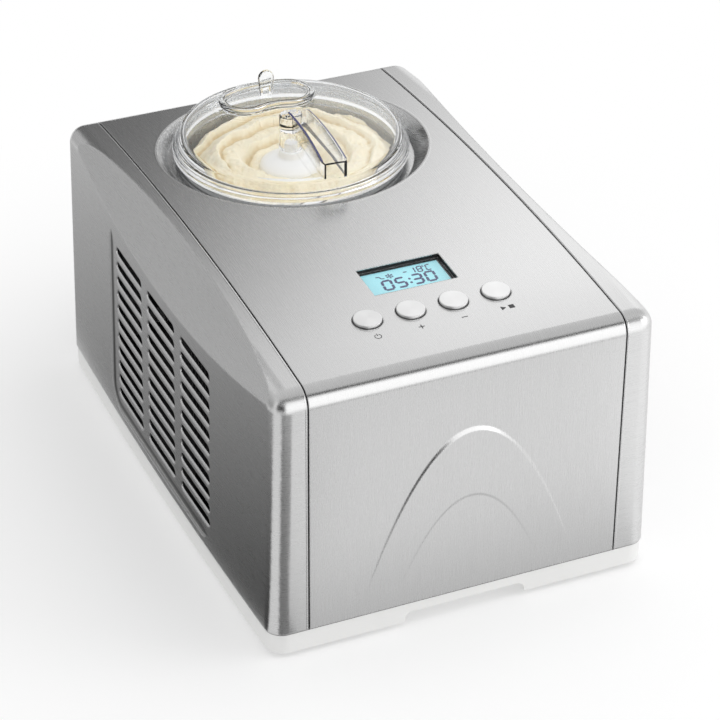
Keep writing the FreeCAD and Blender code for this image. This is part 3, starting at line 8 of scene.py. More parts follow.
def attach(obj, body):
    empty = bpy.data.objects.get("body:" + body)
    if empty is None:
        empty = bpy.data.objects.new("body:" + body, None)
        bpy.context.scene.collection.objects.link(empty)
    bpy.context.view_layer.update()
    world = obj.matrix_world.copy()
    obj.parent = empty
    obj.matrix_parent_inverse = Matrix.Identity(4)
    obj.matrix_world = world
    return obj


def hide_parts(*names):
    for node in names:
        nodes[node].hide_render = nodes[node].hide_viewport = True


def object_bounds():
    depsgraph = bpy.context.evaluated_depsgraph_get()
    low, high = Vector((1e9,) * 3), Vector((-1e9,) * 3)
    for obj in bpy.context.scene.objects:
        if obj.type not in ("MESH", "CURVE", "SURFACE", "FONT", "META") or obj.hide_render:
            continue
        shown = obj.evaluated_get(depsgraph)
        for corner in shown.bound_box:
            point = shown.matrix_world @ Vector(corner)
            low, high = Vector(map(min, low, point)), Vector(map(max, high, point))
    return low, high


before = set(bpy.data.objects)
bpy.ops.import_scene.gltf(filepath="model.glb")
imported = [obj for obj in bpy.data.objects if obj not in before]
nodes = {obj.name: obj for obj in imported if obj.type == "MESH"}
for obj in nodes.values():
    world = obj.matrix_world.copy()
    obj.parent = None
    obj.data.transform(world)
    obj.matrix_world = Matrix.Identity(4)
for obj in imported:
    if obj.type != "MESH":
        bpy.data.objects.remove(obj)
cad_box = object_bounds()
scene = bpy.context.scene
MM = 0.001

# Main sizes, as in the part's source.
BOWL_Y = 102.0
APEX = 220.9
CROWN_RADIUS = 2232.22
HALF_LENGTH = 210.0
FOOT_HALF = 144.5
LEAN = 4.0 / 190.5
PANEL_LOW = 20.5
BULGE = 3.8
BULGE_RADIUS = HALF_LENGTH ** 2 / (2 * BULGE) + BULGE / 2
CONTROL_Y = -128.0
SLOT_LENGTH = 56.0
SLOT_HEIGHT = 9.0
SLOT_PITCH = 12.1
VENT_LOW = 44.5
COLUMNS = (-73.0, -6.0, 61.0)
VENT_ROWS = 11
BOWL_RIM = 213.87
LID_TOP = 230.87
CAP_LOW = 233.17
CAP_TOP = 236.37
EDGE_ROUND = 13.0
RECESS_RADIUS = 101.0
RECESS_RUN = 9.0 / 11.2
SEAM_EDGE = 117.6
BUTTON_PITCH = 31.9
BUTTON_ROW = -19.7
DISPLAY_ROW = 22.0
PANEL_FACE = -4.98
PADDLE_LOW = 121.4
CARD_LIFT = 0.004


def top_level(y):
    """Height of the crowned top at a distance along the body."""
    return APEX - CROWN_RADIUS + math.sqrt(CROWN_RADIUS ** 2 - y ** 2)


def side_reach(y, z):
    """How far out the side wall is at a place on it."""
    swell = math.sqrt(BULGE_RADIUS ** 2 - y ** 2) - (BULGE_RADIUS - BULGE)
    return FOOT_HALF - LEAN * (z - PANEL_LOW) + swell


CONTROL = Matrix.Translation((0, CONTROL_Y, top_level(CONTROL_Y))) @ Matrix.Rotation(
    math.asin(-CONTROL_Y / CROWN_RADIUS), 4, "X")


# Camera.
def make_camera():
    """The photograph's viewpoint, fitted to the seams of the body."""
    azimuth, elevation, roll = math.radians(-23.87), math.radians(32.43), math.radians(0.42)
    back = Vector((math.sin(azimuth) * math.cos(elevation), -math.cos(azimuth) * math.cos(elevation),
                   math.sin(elevation)))
    right = Vector((math.cos(azimuth), math.sin(azimuth), 0))
    up = back.cross(right)
    across = right * math.cos(roll) + up * math.sin(roll)
    upward = up * math.cos(roll) - right * math.sin(roll)
    data = bpy.data.cameras.new("camera")
    data.sensor_width = 36
    data.lens = 141.145
    data.clip_start, data.clip_end = 0.05, 50
    camera = bpy.data.objects.new("camera", data)
    turn = Matrix((across, upward, back)).transposed().to_4x4()
    camera.matrix_world = Matrix.Translation((-0.7046, -1.6201, 1.2089)) @ turn
    scene.collection.objects.link(camera)
    scene.camera = camera


# Node helpers.
def node(tree, kind, inputs=None, **properties):
    """Add one shader node, set its properties, and fill or link its inputs."""
    item = tree.nodes.new("ShaderNode" + kind)
    for name, value in properties.items():
        setattr(item, name, value)
    feed(tree, item, inputs or {})
    return item


def feed(tree, item, inputs):
    """Link a socket, or set a plain value, on each named input of a node."""
    for name, value in inputs.items():
        if isinstance(value, bpy.types.NodeSocket):
            tree.links.new(value, item.inputs[name])
        else:
            item.inputs[name].default_value = value


def maths(tree, operation, *values):
    """The result of one arithmetic node."""
    return node(tree, "Math", dict(enumerate(values)), operation=operation).outputs[0]


def vector_maths(tree, operation, *values):
    """The node of one operation on vectors."""
    return node(tree, "VectorMath", dict(enumerate(values)), operation=operation)


def combine(tree, **axes):
    """A vector from values along some of its axes."""
    return node(tree, "CombineXYZ", axes).outputs[0]


def spread(tree, value, low, high):
    """The middle half of a noise value spread over another range."""
    inputs = {"Value": value, "From Min": 0.25, "From Max": 0.75, "To Min": low, "To Max": high}
    return node(tree, "MapRange", inputs).outputs["Result"]


def between(tree, share, first, second):
    """A colour between two others."""
    inputs = {0: share, 6: (*first, 1), 7: (*second, 1)}
    return node(tree, "Mix", inputs, data_type="RGBA").outputs[2]


def noise_of(tree, vector, scale, detail=2.0, dimensions="3D"):
    """A noise value over some coordinates."""
    inputs = {"Vector": vector, "Scale": scale, "Detail": detail}
    return node(tree, "TexNoise", inputs, noise_dimensions=dimensions).outputs["Fac"]


def relief(tree, height, strength, distance):
    """A normal for small heights on a surface."""
    return node(tree, "Bump", {"Height": height, "Strength": strength, "Distance": distance}).outputs[0]


def attribute(tree, name):
    """A number that is kept at each point of a mesh."""
    return node(tree, "Attribute", attribute_name=name).outputs["Fac"]


def start(name, **plain):
    """A material with its shader, with the sockets that are the same all over it set."""
    material = bpy.data.materials.new(name)
    material.use_nodes = True
    shader = material.node_tree.nodes["Principled BSDF"]
    for socket, value in plain.items():
        shader.inputs[socket.replace("_", " ")].default_value = value
    return material, material.node_tree, shader


def place_of(tree):
    """Coordinates in the object's own frame, in metres."""
    return node(tree, "TexCoord").outputs["Object"]


def plain_surface(name, first, second, rough, grain, bump, scale_far=18.0, **plain):
    """A moulded, cast or painted surface: mottled colour, uneven gloss and a fine raised grain."""
    material, tree, shader = start(name, **plain)
    place = place_of(tree)
    fine = noise_of(tree, place, grain, 3)
    broad = noise_of(tree, place, scale_far, 2)
    feed(tree, shader, {"Base Color": between(tree, broad, first, second),
                        "Roughness": spread(tree, fine, *rough),
                        "Normal": relief(tree, fine, bump, 0.0003)})
    return material


# Brushed steel.
def brushed(name, direction, rough, edge):
    """Brushed steel: fine short lines that follow the sheet round its bends, the sheen spread across them."""
    material, tree, shader = start(name, Metallic=1.0, Anisotropic=0.6)
    x, y, z = node(tree, "SeparateXYZ", {0: place_of(tree)}).outputs
    normal = node(tree, "NewGeometry").outputs["Normal"]
    facing = node(tree, "SeparateXYZ", {0: normal}).outputs["Z"]
    if direction == 0:
        along = maths(tree, "ADD", y, z)
        across = x
        tangent = combine(tree, X=1.0)
    else:
        along = maths(tree, "MULTIPLY_ADD", x, float(direction), y)
        flat = maths(tree, "GREATER_THAN", facing, 0.75)
        across = node(tree, "Mix", {0: flat, 2: z, 3: x}, data_type="FLOAT").outputs[0]
        tangent = combine(tree, X=maths(tree, "MULTIPLY", facing, -0.8 * direction), Z=1.0)
    grid = combine(tree, X=maths(tree, "MULTIPLY", across, 2400.0), Y=maths(tree, "MULTIPLY", along, 50.0))
    streak = noise_of(tree, grid, 1.0, 3, "2D")
    wide = combine(tree, X=maths(tree, "MULTIPLY", across, 260.0), Y=maths(tree, "MULTIPLY", along, 9.0))
    band = noise_of(tree, wide, 1.0, 2, "2D")
    mixed = maths(tree, "MULTIPLY_ADD", band, 0.2, maths(tree, "MULTIPLY", streak, 0.8))
    tone = between(tree, spread(tree, mixed, 0, 1), (0.59, 0.59, 0.59), (0.64, 0.64, 0.64))
    feed(tree, shader, {"Base Color": tone, "Roughness": spread(tree, mixed, *rough), "Tangent": tangent,
                        "Normal": node(tree, "Bevel", {"Radius": edge}, samples=4).outputs[0]})
    return material


def ribbed():
    """Steel of the embossed ribs, with painted shade making them darker on their flanks than along their
    crests.
    """
    material, tree, shader = start("steel_rib", Metallic=1.0)
    grain = noise_of(tree, place_of(tree), 900.0, 2)
    # Painted shade: near black on the rib's flanks, the plain steel grey along its crest.
    tone = between(tree, attribute(tree, "flank_shade"), (0.64, 0.64, 0.64), (0.14, 0.14, 0.14))
    feed(tree, shader, {"Base Color": tone, "Roughness": spread(tree, grain, 0.26, 0.32)})
    return material


def spun(name):
    """Spun metal: fine rings about the piece's own middle, with the sheen running out from it."""
    material, tree, shader = start(name, Metallic=1.0, Anisotropic=0.75)
    own = node(tree, "TexCoord").outputs["Generated"]
    middle = vector_maths(tree, "SUBTRACT", own, (0.5, 0.5, 0)).outputs[0]
    flat = vector_maths(tree, "MULTIPLY", middle, (1, 1, 0)).outputs[0]
    reach = vector_maths(tree, "LENGTH", flat).outputs["Value"]
    rings = noise_of(tree, combine(tree, X=reach), 140.0, 2)
    tangent = node(tree, "Tangent", direction_type="RADIAL", axis="Z").outputs[0]
    feed(tree, shader, {"Base Color": between(tree, rings, (0.74, 0.74, 0.74), (0.84, 0.84, 0.84)),
                        "Roughness": spread(tree, rings, 0.26, 0.36), "Tangent": tangent,
                        "Normal": relief(tree, rings, 0.05, 0.0002)})
    return material


def clear(name, tint, second, rough):
    """Clear moulded plastic with faint flow marks."""
    material, tree, shader = start(name, Transmission_Weight=1.0, IOR=1.49)
    flow = noise_of(tree, place_of(tree), 60.0, 2)
    feed(tree, shader, {"Base Color": between(tree, flow, tint, second),
                        "Roughness": spread(tree, flow, *rough),
                        "Normal": relief(tree, flow, 0.02, 0.0004)})
    return material


def cream():
    """Vanilla ice cream: soft light inside it, a finely crystalline skin, and painted shade making it darker
    and browner in the hollows of its folds.
    """
    material, tree, shader = start("vanilla", Subsurface_Weight=0.15, Subsurface_Scale=0.006, IOR=1.35,
                                   Subsurface_Radius=(1.0, 0.75, 0.45))
    place = place_of(tree)
    broad = noise_of(tree, place, 45.0, 4)
    fine = noise_of(tree, place, 900.0, 4)
    crest = between(tree, broad, (0.86, 0.76, 0.53), (0.92, 0.86, 0.69))
    # Painted shade: a darker, browner cream where the surface sits below its neighbours.
    inputs = {0: attribute(tree, "hollow_shade"), 6: crest, 7: (0.72, 0.58, 0.33, 1)}
    tone = node(tree, "Mix", inputs, data_type="RGBA").outputs[2]
    height = maths(tree, "MULTIPLY_ADD", broad, 0.5, fine)
    feed(tree, shader, {"Base Color": tone, "Roughness": spread(tree, fine, 0.45, 0.65),
                        "Normal": relief(tree, height, 0.5, 0.0006)})
    return material


def lit_panel():
    """The display's backlit panel, a little brighter towards its middle."""
    material, tree, shader = start("backlit_panel", Roughness=0.5, Emission_Strength=0.35)
    place = place_of(tree)
    centre = (0, (CONTROL_Y + DISPLAY_ROW) * MM, top_level(CONTROL_Y + DISPLAY_ROW) * MM)
    away = vector_maths(tree, "DISTANCE", place, centre).outputs["Value"]
    grain = noise_of(tree, place, 500.0, 2)
    share = maths(tree, "MULTIPLY_ADD", away, 22.0, maths(tree, "MULTIPLY", grain, 0.12))
    tone = between(tree, share, (0.28, 0.63, 0.69), (0.20, 0.50, 0.57))
    feed(tree, shader, {"Base Color": tone, "Emission Color": tone})
    return material


TOP_STEEL = brushed("steel_top", 0, (0.25, 0.29), 0.0012)
LEFT_STEEL = brushed("steel_left", -1, (0.26, 0.30), 0.0020)
RIGHT_STEEL = brushed("steel_right", 1, (0.26, 0.30), 0.0020)
LIP_STEEL = plain_surface("steel_lip", (0.60, 0.60, 0.60), (0.64, 0.64, 0.64), (0.24, 0.30), 900, 0.02,
                          Metallic=1.0)
RIB_STEEL = ribbed()
SPUN = spun("steel_spun")
CLEAR = clear("clear_lid", (0.955, 0.965, 0.97), (0.985, 0.99, 0.995), (0.0, 0.01))
GLASS = clear("clear_window", (0.93, 0.96, 0.97), (0.97, 0.985, 0.99), (0.0, 0.004))
CREAM = cream()
PANEL = lit_panel()
WHITE = plain_surface("white_moulding", (0.81, 0.81, 0.80), (0.85, 0.85, 0.84), (0.32, 0.44), 1400, 0.12)
PADDLE = plain_surface("white_paddle", (0.86, 0.86, 0.85), (0.89, 0.89, 0.88), (0.30, 0.40), 1100, 0.10)
FOOT = plain_surface("white_rubber", (0.72, 0.72, 0.71), (0.78, 0.78, 0.77), (0.65, 0.80), 1800, 0.3)
RUBBER = plain_surface("dark_rubber", (0.022, 0.022, 0.023), (0.035, 0.035, 0.036), (0.6, 0.75), 1600, 0.3)
BLACK = plain_surface("black_moulding", (0.012, 0.012, 0.013), (0.022, 0.022, 0.024), (0.36, 0.5), 1500, 0.2)
INK = plain_surface("dark_ink", (0.030, 0.030, 0.032), (0.045, 0.045, 0.047), (0.5, 0.6), 3000, 0.05)
SEGMENT = plain_surface("display_ink", (0.002, 0.004, 0.09), (0.004, 0.007, 0.12), (0.6, 0.7), 3000, 0.05,
                        Specular_IOR_Level=0.0)
ALUMINIUM = plain_surface("aluminium", (0.58, 0.59, 0.60), (0.68, 0.69, 0.70), (0.24, 0.36), 700, 0.1,
                          Metallic=1.0)
GREY = plain_surface("grey_paint", (0.36, 0.365, 0.37), (0.42, 0.425, 0.43), (0.38, 0.5), 1600, 0.25,
                     Metallic=0.35)
VIOLET = plain_surface("violet_edge", (0.05, 0.05, 0.16), (0.07, 0.07, 0.20), (0.2, 0.3), 800, 0.02)
FOAM = plain_surface("foam", (0.012, 0.012, 0.012), (0.022, 0.022, 0.022), (0.8, 0.95), 900, 0.8)
ZINC = plain_surface("zinc", (0.42, 0.44, 0.45), (0.60, 0.62, 0.63), (0.3, 0.5), 300, 0.15, 60.0,
                     Metallic=0.9)
GROUND = plain_surface("ground_steel", (0.62, 0.62, 0.63), (0.70, 0.70, 0.71), (0.15, 0.25), 1500, 0.1,
                       Metallic=1.0)
NYLON = plain_surface("nylon", (0.76, 0.73, 0.64), (0.82, 0.79, 0.71), (0.45, 0.6), 1200, 0.15)
CAST = plain_surface("motor_metal", (0.34, 0.35, 0.36), (0.44, 0.45, 0.46), (0.4, 0.55), 900, 0.25,
                     Metallic=0.9)
PAINT = plain_surface("black_paint", (0.012, 0.012, 0.013), (0.02, 0.02, 0.021), (0.22, 0.34), 1200, 0.15)
FIN = plain_surface("fin_paint", (0.012, 0.012, 0.013), (0.022, 0.022, 0.023), (0.45, 0.6), 800, 0.1)
COPPER = plain_surface("copper", (0.56, 0.24, 0.12), (0.68, 0.33, 0.18), (0.25, 0.42), 500, 0.12, 70.0,
                       Metallic=1.0)
BOARD = plain_surface("board", (0.010, 0.085, 0.035), (0.018, 0.12, 0.05), (0.35, 0.5), 900, 0.1)
BRONZE = plain_surface("bronze", (0.42, 0.26, 0.11), (0.52, 0.34, 0.16), (0.3, 0.45), 800, 0.15, Metallic=1.0)

FINISHES = (
    (LEFT_STEEL, "left_side_panel"), (RIGHT_STEEL, "right_side_panel"), (TOP_STEEL, "top_front_panel"),
    (GREY, "rear_panel"), (WHITE, "base_tray"), (FOOT, "rubber_feet"), (PADDLE, "paddle"),
    (CLEAR, "lid filler_cap"),
    (RUBBER, "cord_gland shaft_seal compressor_mounts"), (FOAM, "insulation_foam"), (PAINT, "compressor"),
    (ALUMINIUM, "mixing_bowl bowl_well evaporator_jacket"), (FIN, "condenser"), (BRONZE, "shaft_bushes"),
    (ZINC, "support_frame compressor_plate fan_shroud fan_bracket"),
    (GROUND, "drive_shaft idler_pin rear_screws"),
    (NYLON, "output_gear intermediate_gear gearbox_housing gearbox_cover"),
    (CAST, "motor_rotor drive_motor fan_motor"),
    (COPPER, "suction_pipe discharge_pipe condenser_outlet_pipe liquid_pipe filter_drier"),
    (BLACK, "control_carrier display_frame fan_rotor seam_strips tact_switches"), (GLASS, "display_window"),
    (PANEL, "display_module"), (SPUN, "button_power button_plus button_minus button_start"),
    (BOARD, "control_board power_board"),
)
for material, names in FINISHES:
    for name in names.split():
        nodes[name].data.materials.clear()
        nodes[name].data.materials.append(material)


# Mesh helpers.
def piece(name, points, faces, material, body, smooth=True):
    """A mesh piece from points in millimetres, riding on a body."""
    mesh = bpy.data.meshes.new(name)
    mesh.from_pydata([Vector(point) * MM for point in points], [], faces)
    mesh.validate()
    return finished(name, mesh, material, body, smooth)


def finished(name, mesh, material, body, smooth=True):
    """A linked piece for a mesh that is in place."""
    mesh.polygons.foreach_set("use_smooth", [smooth] * len(mesh.polygons))
    mesh.materials.clear()
    mesh.materials.append(material)
    item = bpy.data.objects.new(name, mesh)
    scene.collection.objects.link(item)
    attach(item, body)
    return item


def soften(outline, radii, steps=4):
    """An open or closed run of points with its corners rounded, each by its own set-back."""
    count = len(outline)
    smooth = []
    for index, corner in enumerate(outline):
        radius = radii[index] if isinstance(radii, (list, tuple)) else radii
        before, after = Vector(outline[index - 1]), Vector(outline[(index + 1) % count])
        corner = Vector(corner)
        if radius <= 0:
            smooth.append(corner)
            continue
        back, ahead = before - corner, after - corner
        first = corner + back * min(radius / back.length, 0.48)
        last = corner + ahead * min(radius / ahead.length, 0.48)
        for step in range(steps + 1):
            t = step / steps
            smooth.append(first * (1 - t) ** 2 + corner * 2 * t * (1 - t) + last * t ** 2)
    return smooth


def lathe(section, steps=160, y=BOWL_Y):
    """Points and faces of a closed half section turned about the bowl's axis."""
    points, faces, rings = [], [], []
    for radius, level in section:
        if radius < 0.01:
            rings.append([len(points)] * steps)
            points.append((0, y, level))
            continue
        rings.append(list(range(len(points), len(points) + steps)))
        for step in range(steps):
            angle = 2 * math.pi * step / steps
            points.append((radius * math.cos(angle), y + radius * math.sin(angle), level))
    for index, ring in enumerate(rings):
        after = rings[(index + 1) % len(rings)]
        for step in range(steps):
            turn = (step + 1) % steps
            face = []
            for corner in (ring[step], ring[turn], after[turn], after[step]):
                if corner not in face:
                    face.append(corner)
            if len(face) > 2:
                faces.append(face)
    return points, faces


def grid_faces(rows, columns, closed_rows=False, closed_columns=False, first=0, flipped=False):
    """Quads between rows of points, joined up either way where the grid is closed."""
    faces = []
    for row in range(rows if closed_rows else rows - 1):
        low = first + row * columns
        high = first + (row + 1) % rows * columns
        for step in range(columns if closed_columns else columns - 1):
            turn = (step + 1) % columns
            if flipped:
                faces.append([low + step, high + step, high + turn, low + turn])
            else:
                faces.append([low + step, low + turn, high + turn, high + step])
    return faces


def for_side(faces, side):
    """Faces for one side of the body, turned over for the left one."""
    return faces if side > 0 else [corners[::-1] for corners in faces]


def stacked(rings):
    """Points and faces of a solid through closed rings of points, filled at both ends."""
    count = len(rings[0])
    points = [point for ring in rings for point in ring]
    faces = [list(range(count))[::-1], [len(points) - count + step for step in range(count)]]
    return points, faces + grid_faces(len(rings), count, closed_columns=True)


def outward(mesh):
    """Make a closed mesh's faces all look outwards."""
    shape = bmesh.new()
    shape.from_mesh(mesh)
    bmesh.ops.remove_doubles(shape, verts=shape.verts, dist=1e-7)
    bmesh.ops.recalc_face_normals(shape, faces=shape.faces)
    shape.to_mesh(mesh)
    shape.free()
    return mesh


def solid(points, faces):
    """A closed mesh from points in millimetres, faces outwards."""
    mesh = bpy.data.meshes.new("solid")
    mesh.from_pydata([Vector(point) * MM for point in points], [], faces)
    return outward(mesh)


def combined(base, *steps):
    """A mesh joined with or cut by others, one after another."""
    holder = bpy.data.objects.new("holder", base)
    scene.collection.objects.link(holder)
    for operation, tool in steps:
        other = bpy.data.objects.new("tool", tool)
        scene.collection.objects.link(other)
        change = holder.modifiers.new("change", "BOOLEAN")
        change.operation = operation
        change.object = other
        change.solver = "EXACT"
        seen = holder.evaluated_get(bpy.context.evaluated_depsgraph_get())
        mesh = bpy.data.meshes.new_from_object(seen)
        holder.modifiers.clear()
        holder.data = mesh
        bpy.data.objects.remove(other)
    mesh = holder.data
    bpy.data.objects.remove(holder)
    return mesh


def creased(item, angle=35):
    """Smooth shading that stays sharp at edges over an angle."""
    item.data.set_sharp_from_angle(angle=math.radians(angle))
    return item


# Vent slots: a rolled lip round each one, deepest along its lower edge.
def slot_outline(count=14):
    """Points round a slot, each with the way in towards its middle."""
    half, radius = (SLOT_LENGTH - SLOT_HEIGHT) / 2, SLOT_HEIGHT / 2
    run = []
    for side in (1, -1):
        for step in range(count + 1):
            angle = math.pi * (step / count - 0.5)
            out = Vector((math.cos(angle) * side, math.sin(angle) * side))
            run.append((Vector((side * half, 0)) + out * radius, -out))
        for step in range(1, 8):
            share = step / 8
            run.append((Vector((side * half * (1 - 2 * share), side * radius)), Vector((0, -side))))
    return run


def vent_lips(side, word):
    """Rolled lips of one side's slots, as one piece."""
    points, faces = [], []
    outline = slot_outline()
    roll = ((0, 0), (0.15, 0.03), (0.3, 0.11), (0.52, 0.34), (0.76, 0.58), (0.96, 0.8), (1.1, 1.0),
            (1.16, 1.28), (1.12, 1.55))
    for column in COLUMNS:
        for row in range(VENT_ROWS):
            centre = Vector((column, VENT_LOW + row * SLOT_PITCH))
            first = len(points)
            for spot, inward in outline:
                share = 0.3 + 0.75 * max(0.0, inward.y) ** 1.5 + 0.35 * abs(inward.x) ** 3
                for reach, depth in roll:
                    flat = centre + spot + inward * reach * share
                    points.append((side * (side_reach(flat.x, flat.y) - depth * share), flat.x, flat.y))
            faces += grid_faces(len(outline), len(roll), closed_rows=True, first=first, flipped=True)
    item = piece(f"vent_lips_{word}", points, faces, LIP_STEEL, "housing")
    outward(item.data)
    return item


# Embossed rib beside the vents: down behind them, round a corner and along below them.
def side_rib(side, word):
    """A low rounded rib that follows the side wall, inside the widest part of the body."""
    path = [Vector((100.0, 178 - 4.57 * step)) for step in range(29)]
    for step in range(1, 11):
        angle = math.pi / 2 * step / 10
        path.append(Vector((81 + 19 * math.cos(angle), 50 - 19 * math.sin(angle))))
    path += [Vector((81 - 176 * step / 36, 31.0)) for step in range(1, 37)]
    shares = [step / 6 - 1 for step in range(13)]
    points, normals = [], []
    last, size = len(path) - 1, len(shares)
    widest = cad_box[1][0] / MM - 0.03
    for index, spot in enumerate(path):
        ahead = (path[min(index + 1, last)] - path[max(index - 1, 0)]).normalized()
        across = Vector((ahead.y, -ahead.x))
        taper = min(1.0, min(index, last - index) / 1.5 + 0.05)
        room = widest - side_reach(spot.x, spot.y)
        for share in shares:
            flat = spot + across * 6.0 * share * taper
            lift = min(0.9, max(0.03, room)) * math.cos(share * math.pi / 2) ** 2 * taper
            points.append((side * min(widest, side_reach(flat.x, flat.y) + lift), flat.x, flat.y))
            tilt = across * math.sin(share * math.pi) * 0.5
            normals.append(Vector((side, tilt.x, tilt.y)).normalized())
    faces = for_side(grid_faces(len(path), size), side)
    item = piece(f"side_rib_{word}", points, faces, RIB_STEEL, "housing")
    item.data.normals_split_custom_set_from_vertices(normals)
    # Painted shade on the rib: darkest on its flanks, none along its crest and outer edges.
    flank_shade = item.data.attributes.new("flank_shade", "FLOAT", "POINT")
    for index in range(len(path)):
        for step, share in enumerate(shares):
            flank_shade.data[index * size + step].value = math.sin(abs(share) * math.pi) ** 2
    return item


# Rolled edges of the side panels along the two seams.
def casing_run():
    """Places along the casing's top and front from the rear to the foot, each with its outward direction."""
    along = EDGE_ROUND - HALF_LENGTH
    reach = CROWN_RADIUS - EDGE_ROUND
    centre = Vector((along, APEX - CROWN_RADIUS + math.sqrt(reach ** 2 - along ** 2)))
    lean = math.asin(-along / reach)
    last = -CROWN_RADIUS * math.sin(lean)
    run = []
    for step in range(41):
        y = 195 + (last - 195) * step / 40
        tilt = math.asin(-y / CROWN_RADIUS)
        run.append((Vector((y, top_level(y))), Vector((-math.sin(tilt), math.cos(tilt)))))
    for step in range(1, 13):
        tilt = lean + (math.pi / 2 - lean) * step / 12
        out = Vector((-math.sin(tilt), math.cos(tilt)))
        run.append((centre + out * EDGE_ROUND, out))
    for step in range(1, 13):
        level = centre.y + (PANEL_LOW + 0.3 - centre.y) * step / 12
        run.append((Vector((-HALF_LENGTH, level)), Vector((-1, 0))))
    return run


def seam_edges(side, word):
    """The rolled edge of one side panel, a narrow strip that turns down into the seam."""
    roll = ((1.6, -0.06), (1.25, 0.09), (0.85, 0.13), (0.45, 0.03), (0.15, -0.2), (0.02, -0.7))
    points = []
    run = casing_run()
    for spot, out in run:
        for across, lift in roll:
            place = spot + out * lift
            points.append((side * (SEAM_EDGE + across), place.x, place.y))
    faces = for_side(grid_faces(len(run), len(roll)), side)
    piece(f"seam_edge_{word}", points, faces, LIP_STEEL, "housing")


# Rounded lip of the recess round the bowl.
def recess_lip():
    """A narrow rounded edge that follows the crowned top round the recess."""
    roll = ((2.6, -0.03), (1.8, 0.05), (1.0, 0.04), (0.3, -0.12), (-0.3, -0.5), (-0.8, -1.05), (-1.15, -1.6))
    count = 240
    points = []
    for step in range(count):
        turn = 2 * math.pi * step / count
        reach = RECESS_RADIUS
        for _ in range(6):
            rise = top_level(BOWL_Y + reach * math.sin(turn)) - top_level(BOWL_Y)
            reach = RECESS_RADIUS + rise * RECESS_RUN
        level = top_level(BOWL_Y + reach * math.sin(turn))
        for out, lift in roll:
            away = reach + out
            points.append((away * math.cos(turn), BOWL_Y + away * math.sin(turn), level + lift))
    faces = grid_faces(count, len(roll), closed_rows=True, flipped=True)
    piece("recess_lip", points, faces, LIP_STEEL, "housing")


# Dark bead between the casing's foot and the base, painted shade under the casing's edge.
def base_shade_line():
    """A thin dark bead round the top of the base, just inside the casing's foot, as painted shade along the
    join.
    """
    straight = HALF_LENGTH - EDGE_ROUND
    middle = side_reach(straight, PANEL_LOW) - EDGE_ROUND
    quarter = []
    for step in range(13):
        y = straight * step / 12
        quarter.append((Vector((side_reach(y, PANEL_LOW), y)), Vector((1, 0))))
    for step in range(1, 11):
        turn = math.pi / 2 * step / 10
        out = Vector((math.cos(turn), math.sin(turn)))
        quarter.append((Vector((middle, straight)) + out * EDGE_ROUND, out))
    run = []
    for across, along in ((1, 1), (-1, 1), (-1, -1), (1, -1)):
        part = [(Vector((spot.x * across, spot.y * along)), Vector((out.x * across, out.y * along)))
                for spot, out in quarter]
        run += part if across == along else part[::-1]
    points = []
    for inset, level in ((0.9, 19.85), (0.35, 19.9), (0.35, 20.4), (0.9, 20.45)):
        points += [(*(spot - out * inset), level) for spot, out in run]
    faces = grid_faces(4, len(run), True, True)
    item = piece("base_shade_line", points, faces, RUBBER, "housing", False)
    outward(item.data)


# Dark sheet on the floor inside the casing: painted shade that keeps the vents dark.
def inside_shade_sheet():
    """A thin dark sheet with rounded corners inside the foot of the casing, painted shade for its unlit
    inside.
    """
    across, along = FOOT_HALF - 4.0, HALF_LENGTH - 5.0
    outline = soften([(-across, -along), (across, -along), (across, along), (-across, along)], 12.0)
    rings = [[(spot.x, spot.y, PANEL_LOW + lift) for spot in outline] for lift in (0.02, 0.3)]
    points, faces = stacked(rings)
    item = piece("inside_shade_sheet", points, faces, RUBBER, "housing", False)
    outward(item.data)


# Display: digits and signs on the backlit panel, under the window.
SEGMENTS = {"0": "abcdef", "1": "bc", "2": "abged", "3": "abgcd", "4": "fgbc", "5": "afgcd",
            "6": "afgedc", "7": "abc", "8": "abcdefg", "9": "abfgcd", "-": "g", "C": "afed"}


def bar(first, last, width):
    """A segment of a digit: a bar with pointed ends."""
    first, last = Vector(first), Vector(last)
    along = (last - first).normalized()
    across = Vector((-along.y, along.x)) * width / 2
    tip = along * width * 0.35
    return [first, first + tip + across, last - tip + across, last, last - tip - across, first + tip - across]


def digit(sign, corner, wide, tall, width):
    """The lit bars of one seven-bar digit, leaning a little."""
    gap = width * 0.1
    left, right, low, high, half = 0.0, wide, 0.0, tall, tall / 2
    ends = {"a": ((left, high), (right, high)), "b": ((right, high), (right, half)),
            "c": ((right, half), (right, low)), "d": ((left, low), (right, low)),
            "e": ((left, half), (left, low)), "f": ((left, high), (left, half)),
            "g": ((left, half), (right, half))}
    bars = []
    for name in SEGMENTS[sign]:
        first, last = (Vector(end) for end in ends[name])
        along = (last - first).normalized() * gap
        shape = bar(first + along, last - along, width)
        bars.append([Vector((corner[0] + spot.x + spot.y * 0.09, corner[1] + spot.y)) for spot in shape])
    return bars


def disc(centre, radius, count=14):
    """A small round dot."""
    return [Vector((centre[0] + radius * math.cos(2 * math.pi * step / count),
                    centre[1] + radius * math.sin(2 * math.pi * step / count))) for step in range(count)]


def ring_run(centre, radius, width, first, last, count=28):
    """A part of a ring, as quads between two radii."""
    quads = []
    for step in range(count):
        turns = [math.radians(first + (last - first) * (step + more) / count) for more in (0, 1)]
        corners = [(radius - width / 2, turns[0]), (radius + width / 2, turns[0]),
                   (radius + width / 2, turns[1]), (radius - width / 2, turns[1])]
        quads.append([Vector((centre[0] + reach * math.cos(turn), centre[1] + reach * math.sin(turn)))
                      for reach, turn in corners])
    return quads


def raised(shapes, place, thickness):
    """Points and faces of flat shapes with a thickness, each point set in place by a function."""
    points, faces = [], []
    for shape in shapes:
        first, count = len(points), len(shape)
        points += [place(spot, 0) for spot in shape] + [place(spot, thickness) for spot in shape]
        faces.append([first + step for step in range(count)][::-1])
        faces.append([first + count + step for step in range(count)])
        for step in range(count):
            turn = (step + 1) % count
            faces.append([first + step, first + turn, first + count + turn, first + count + step])
    return points, faces


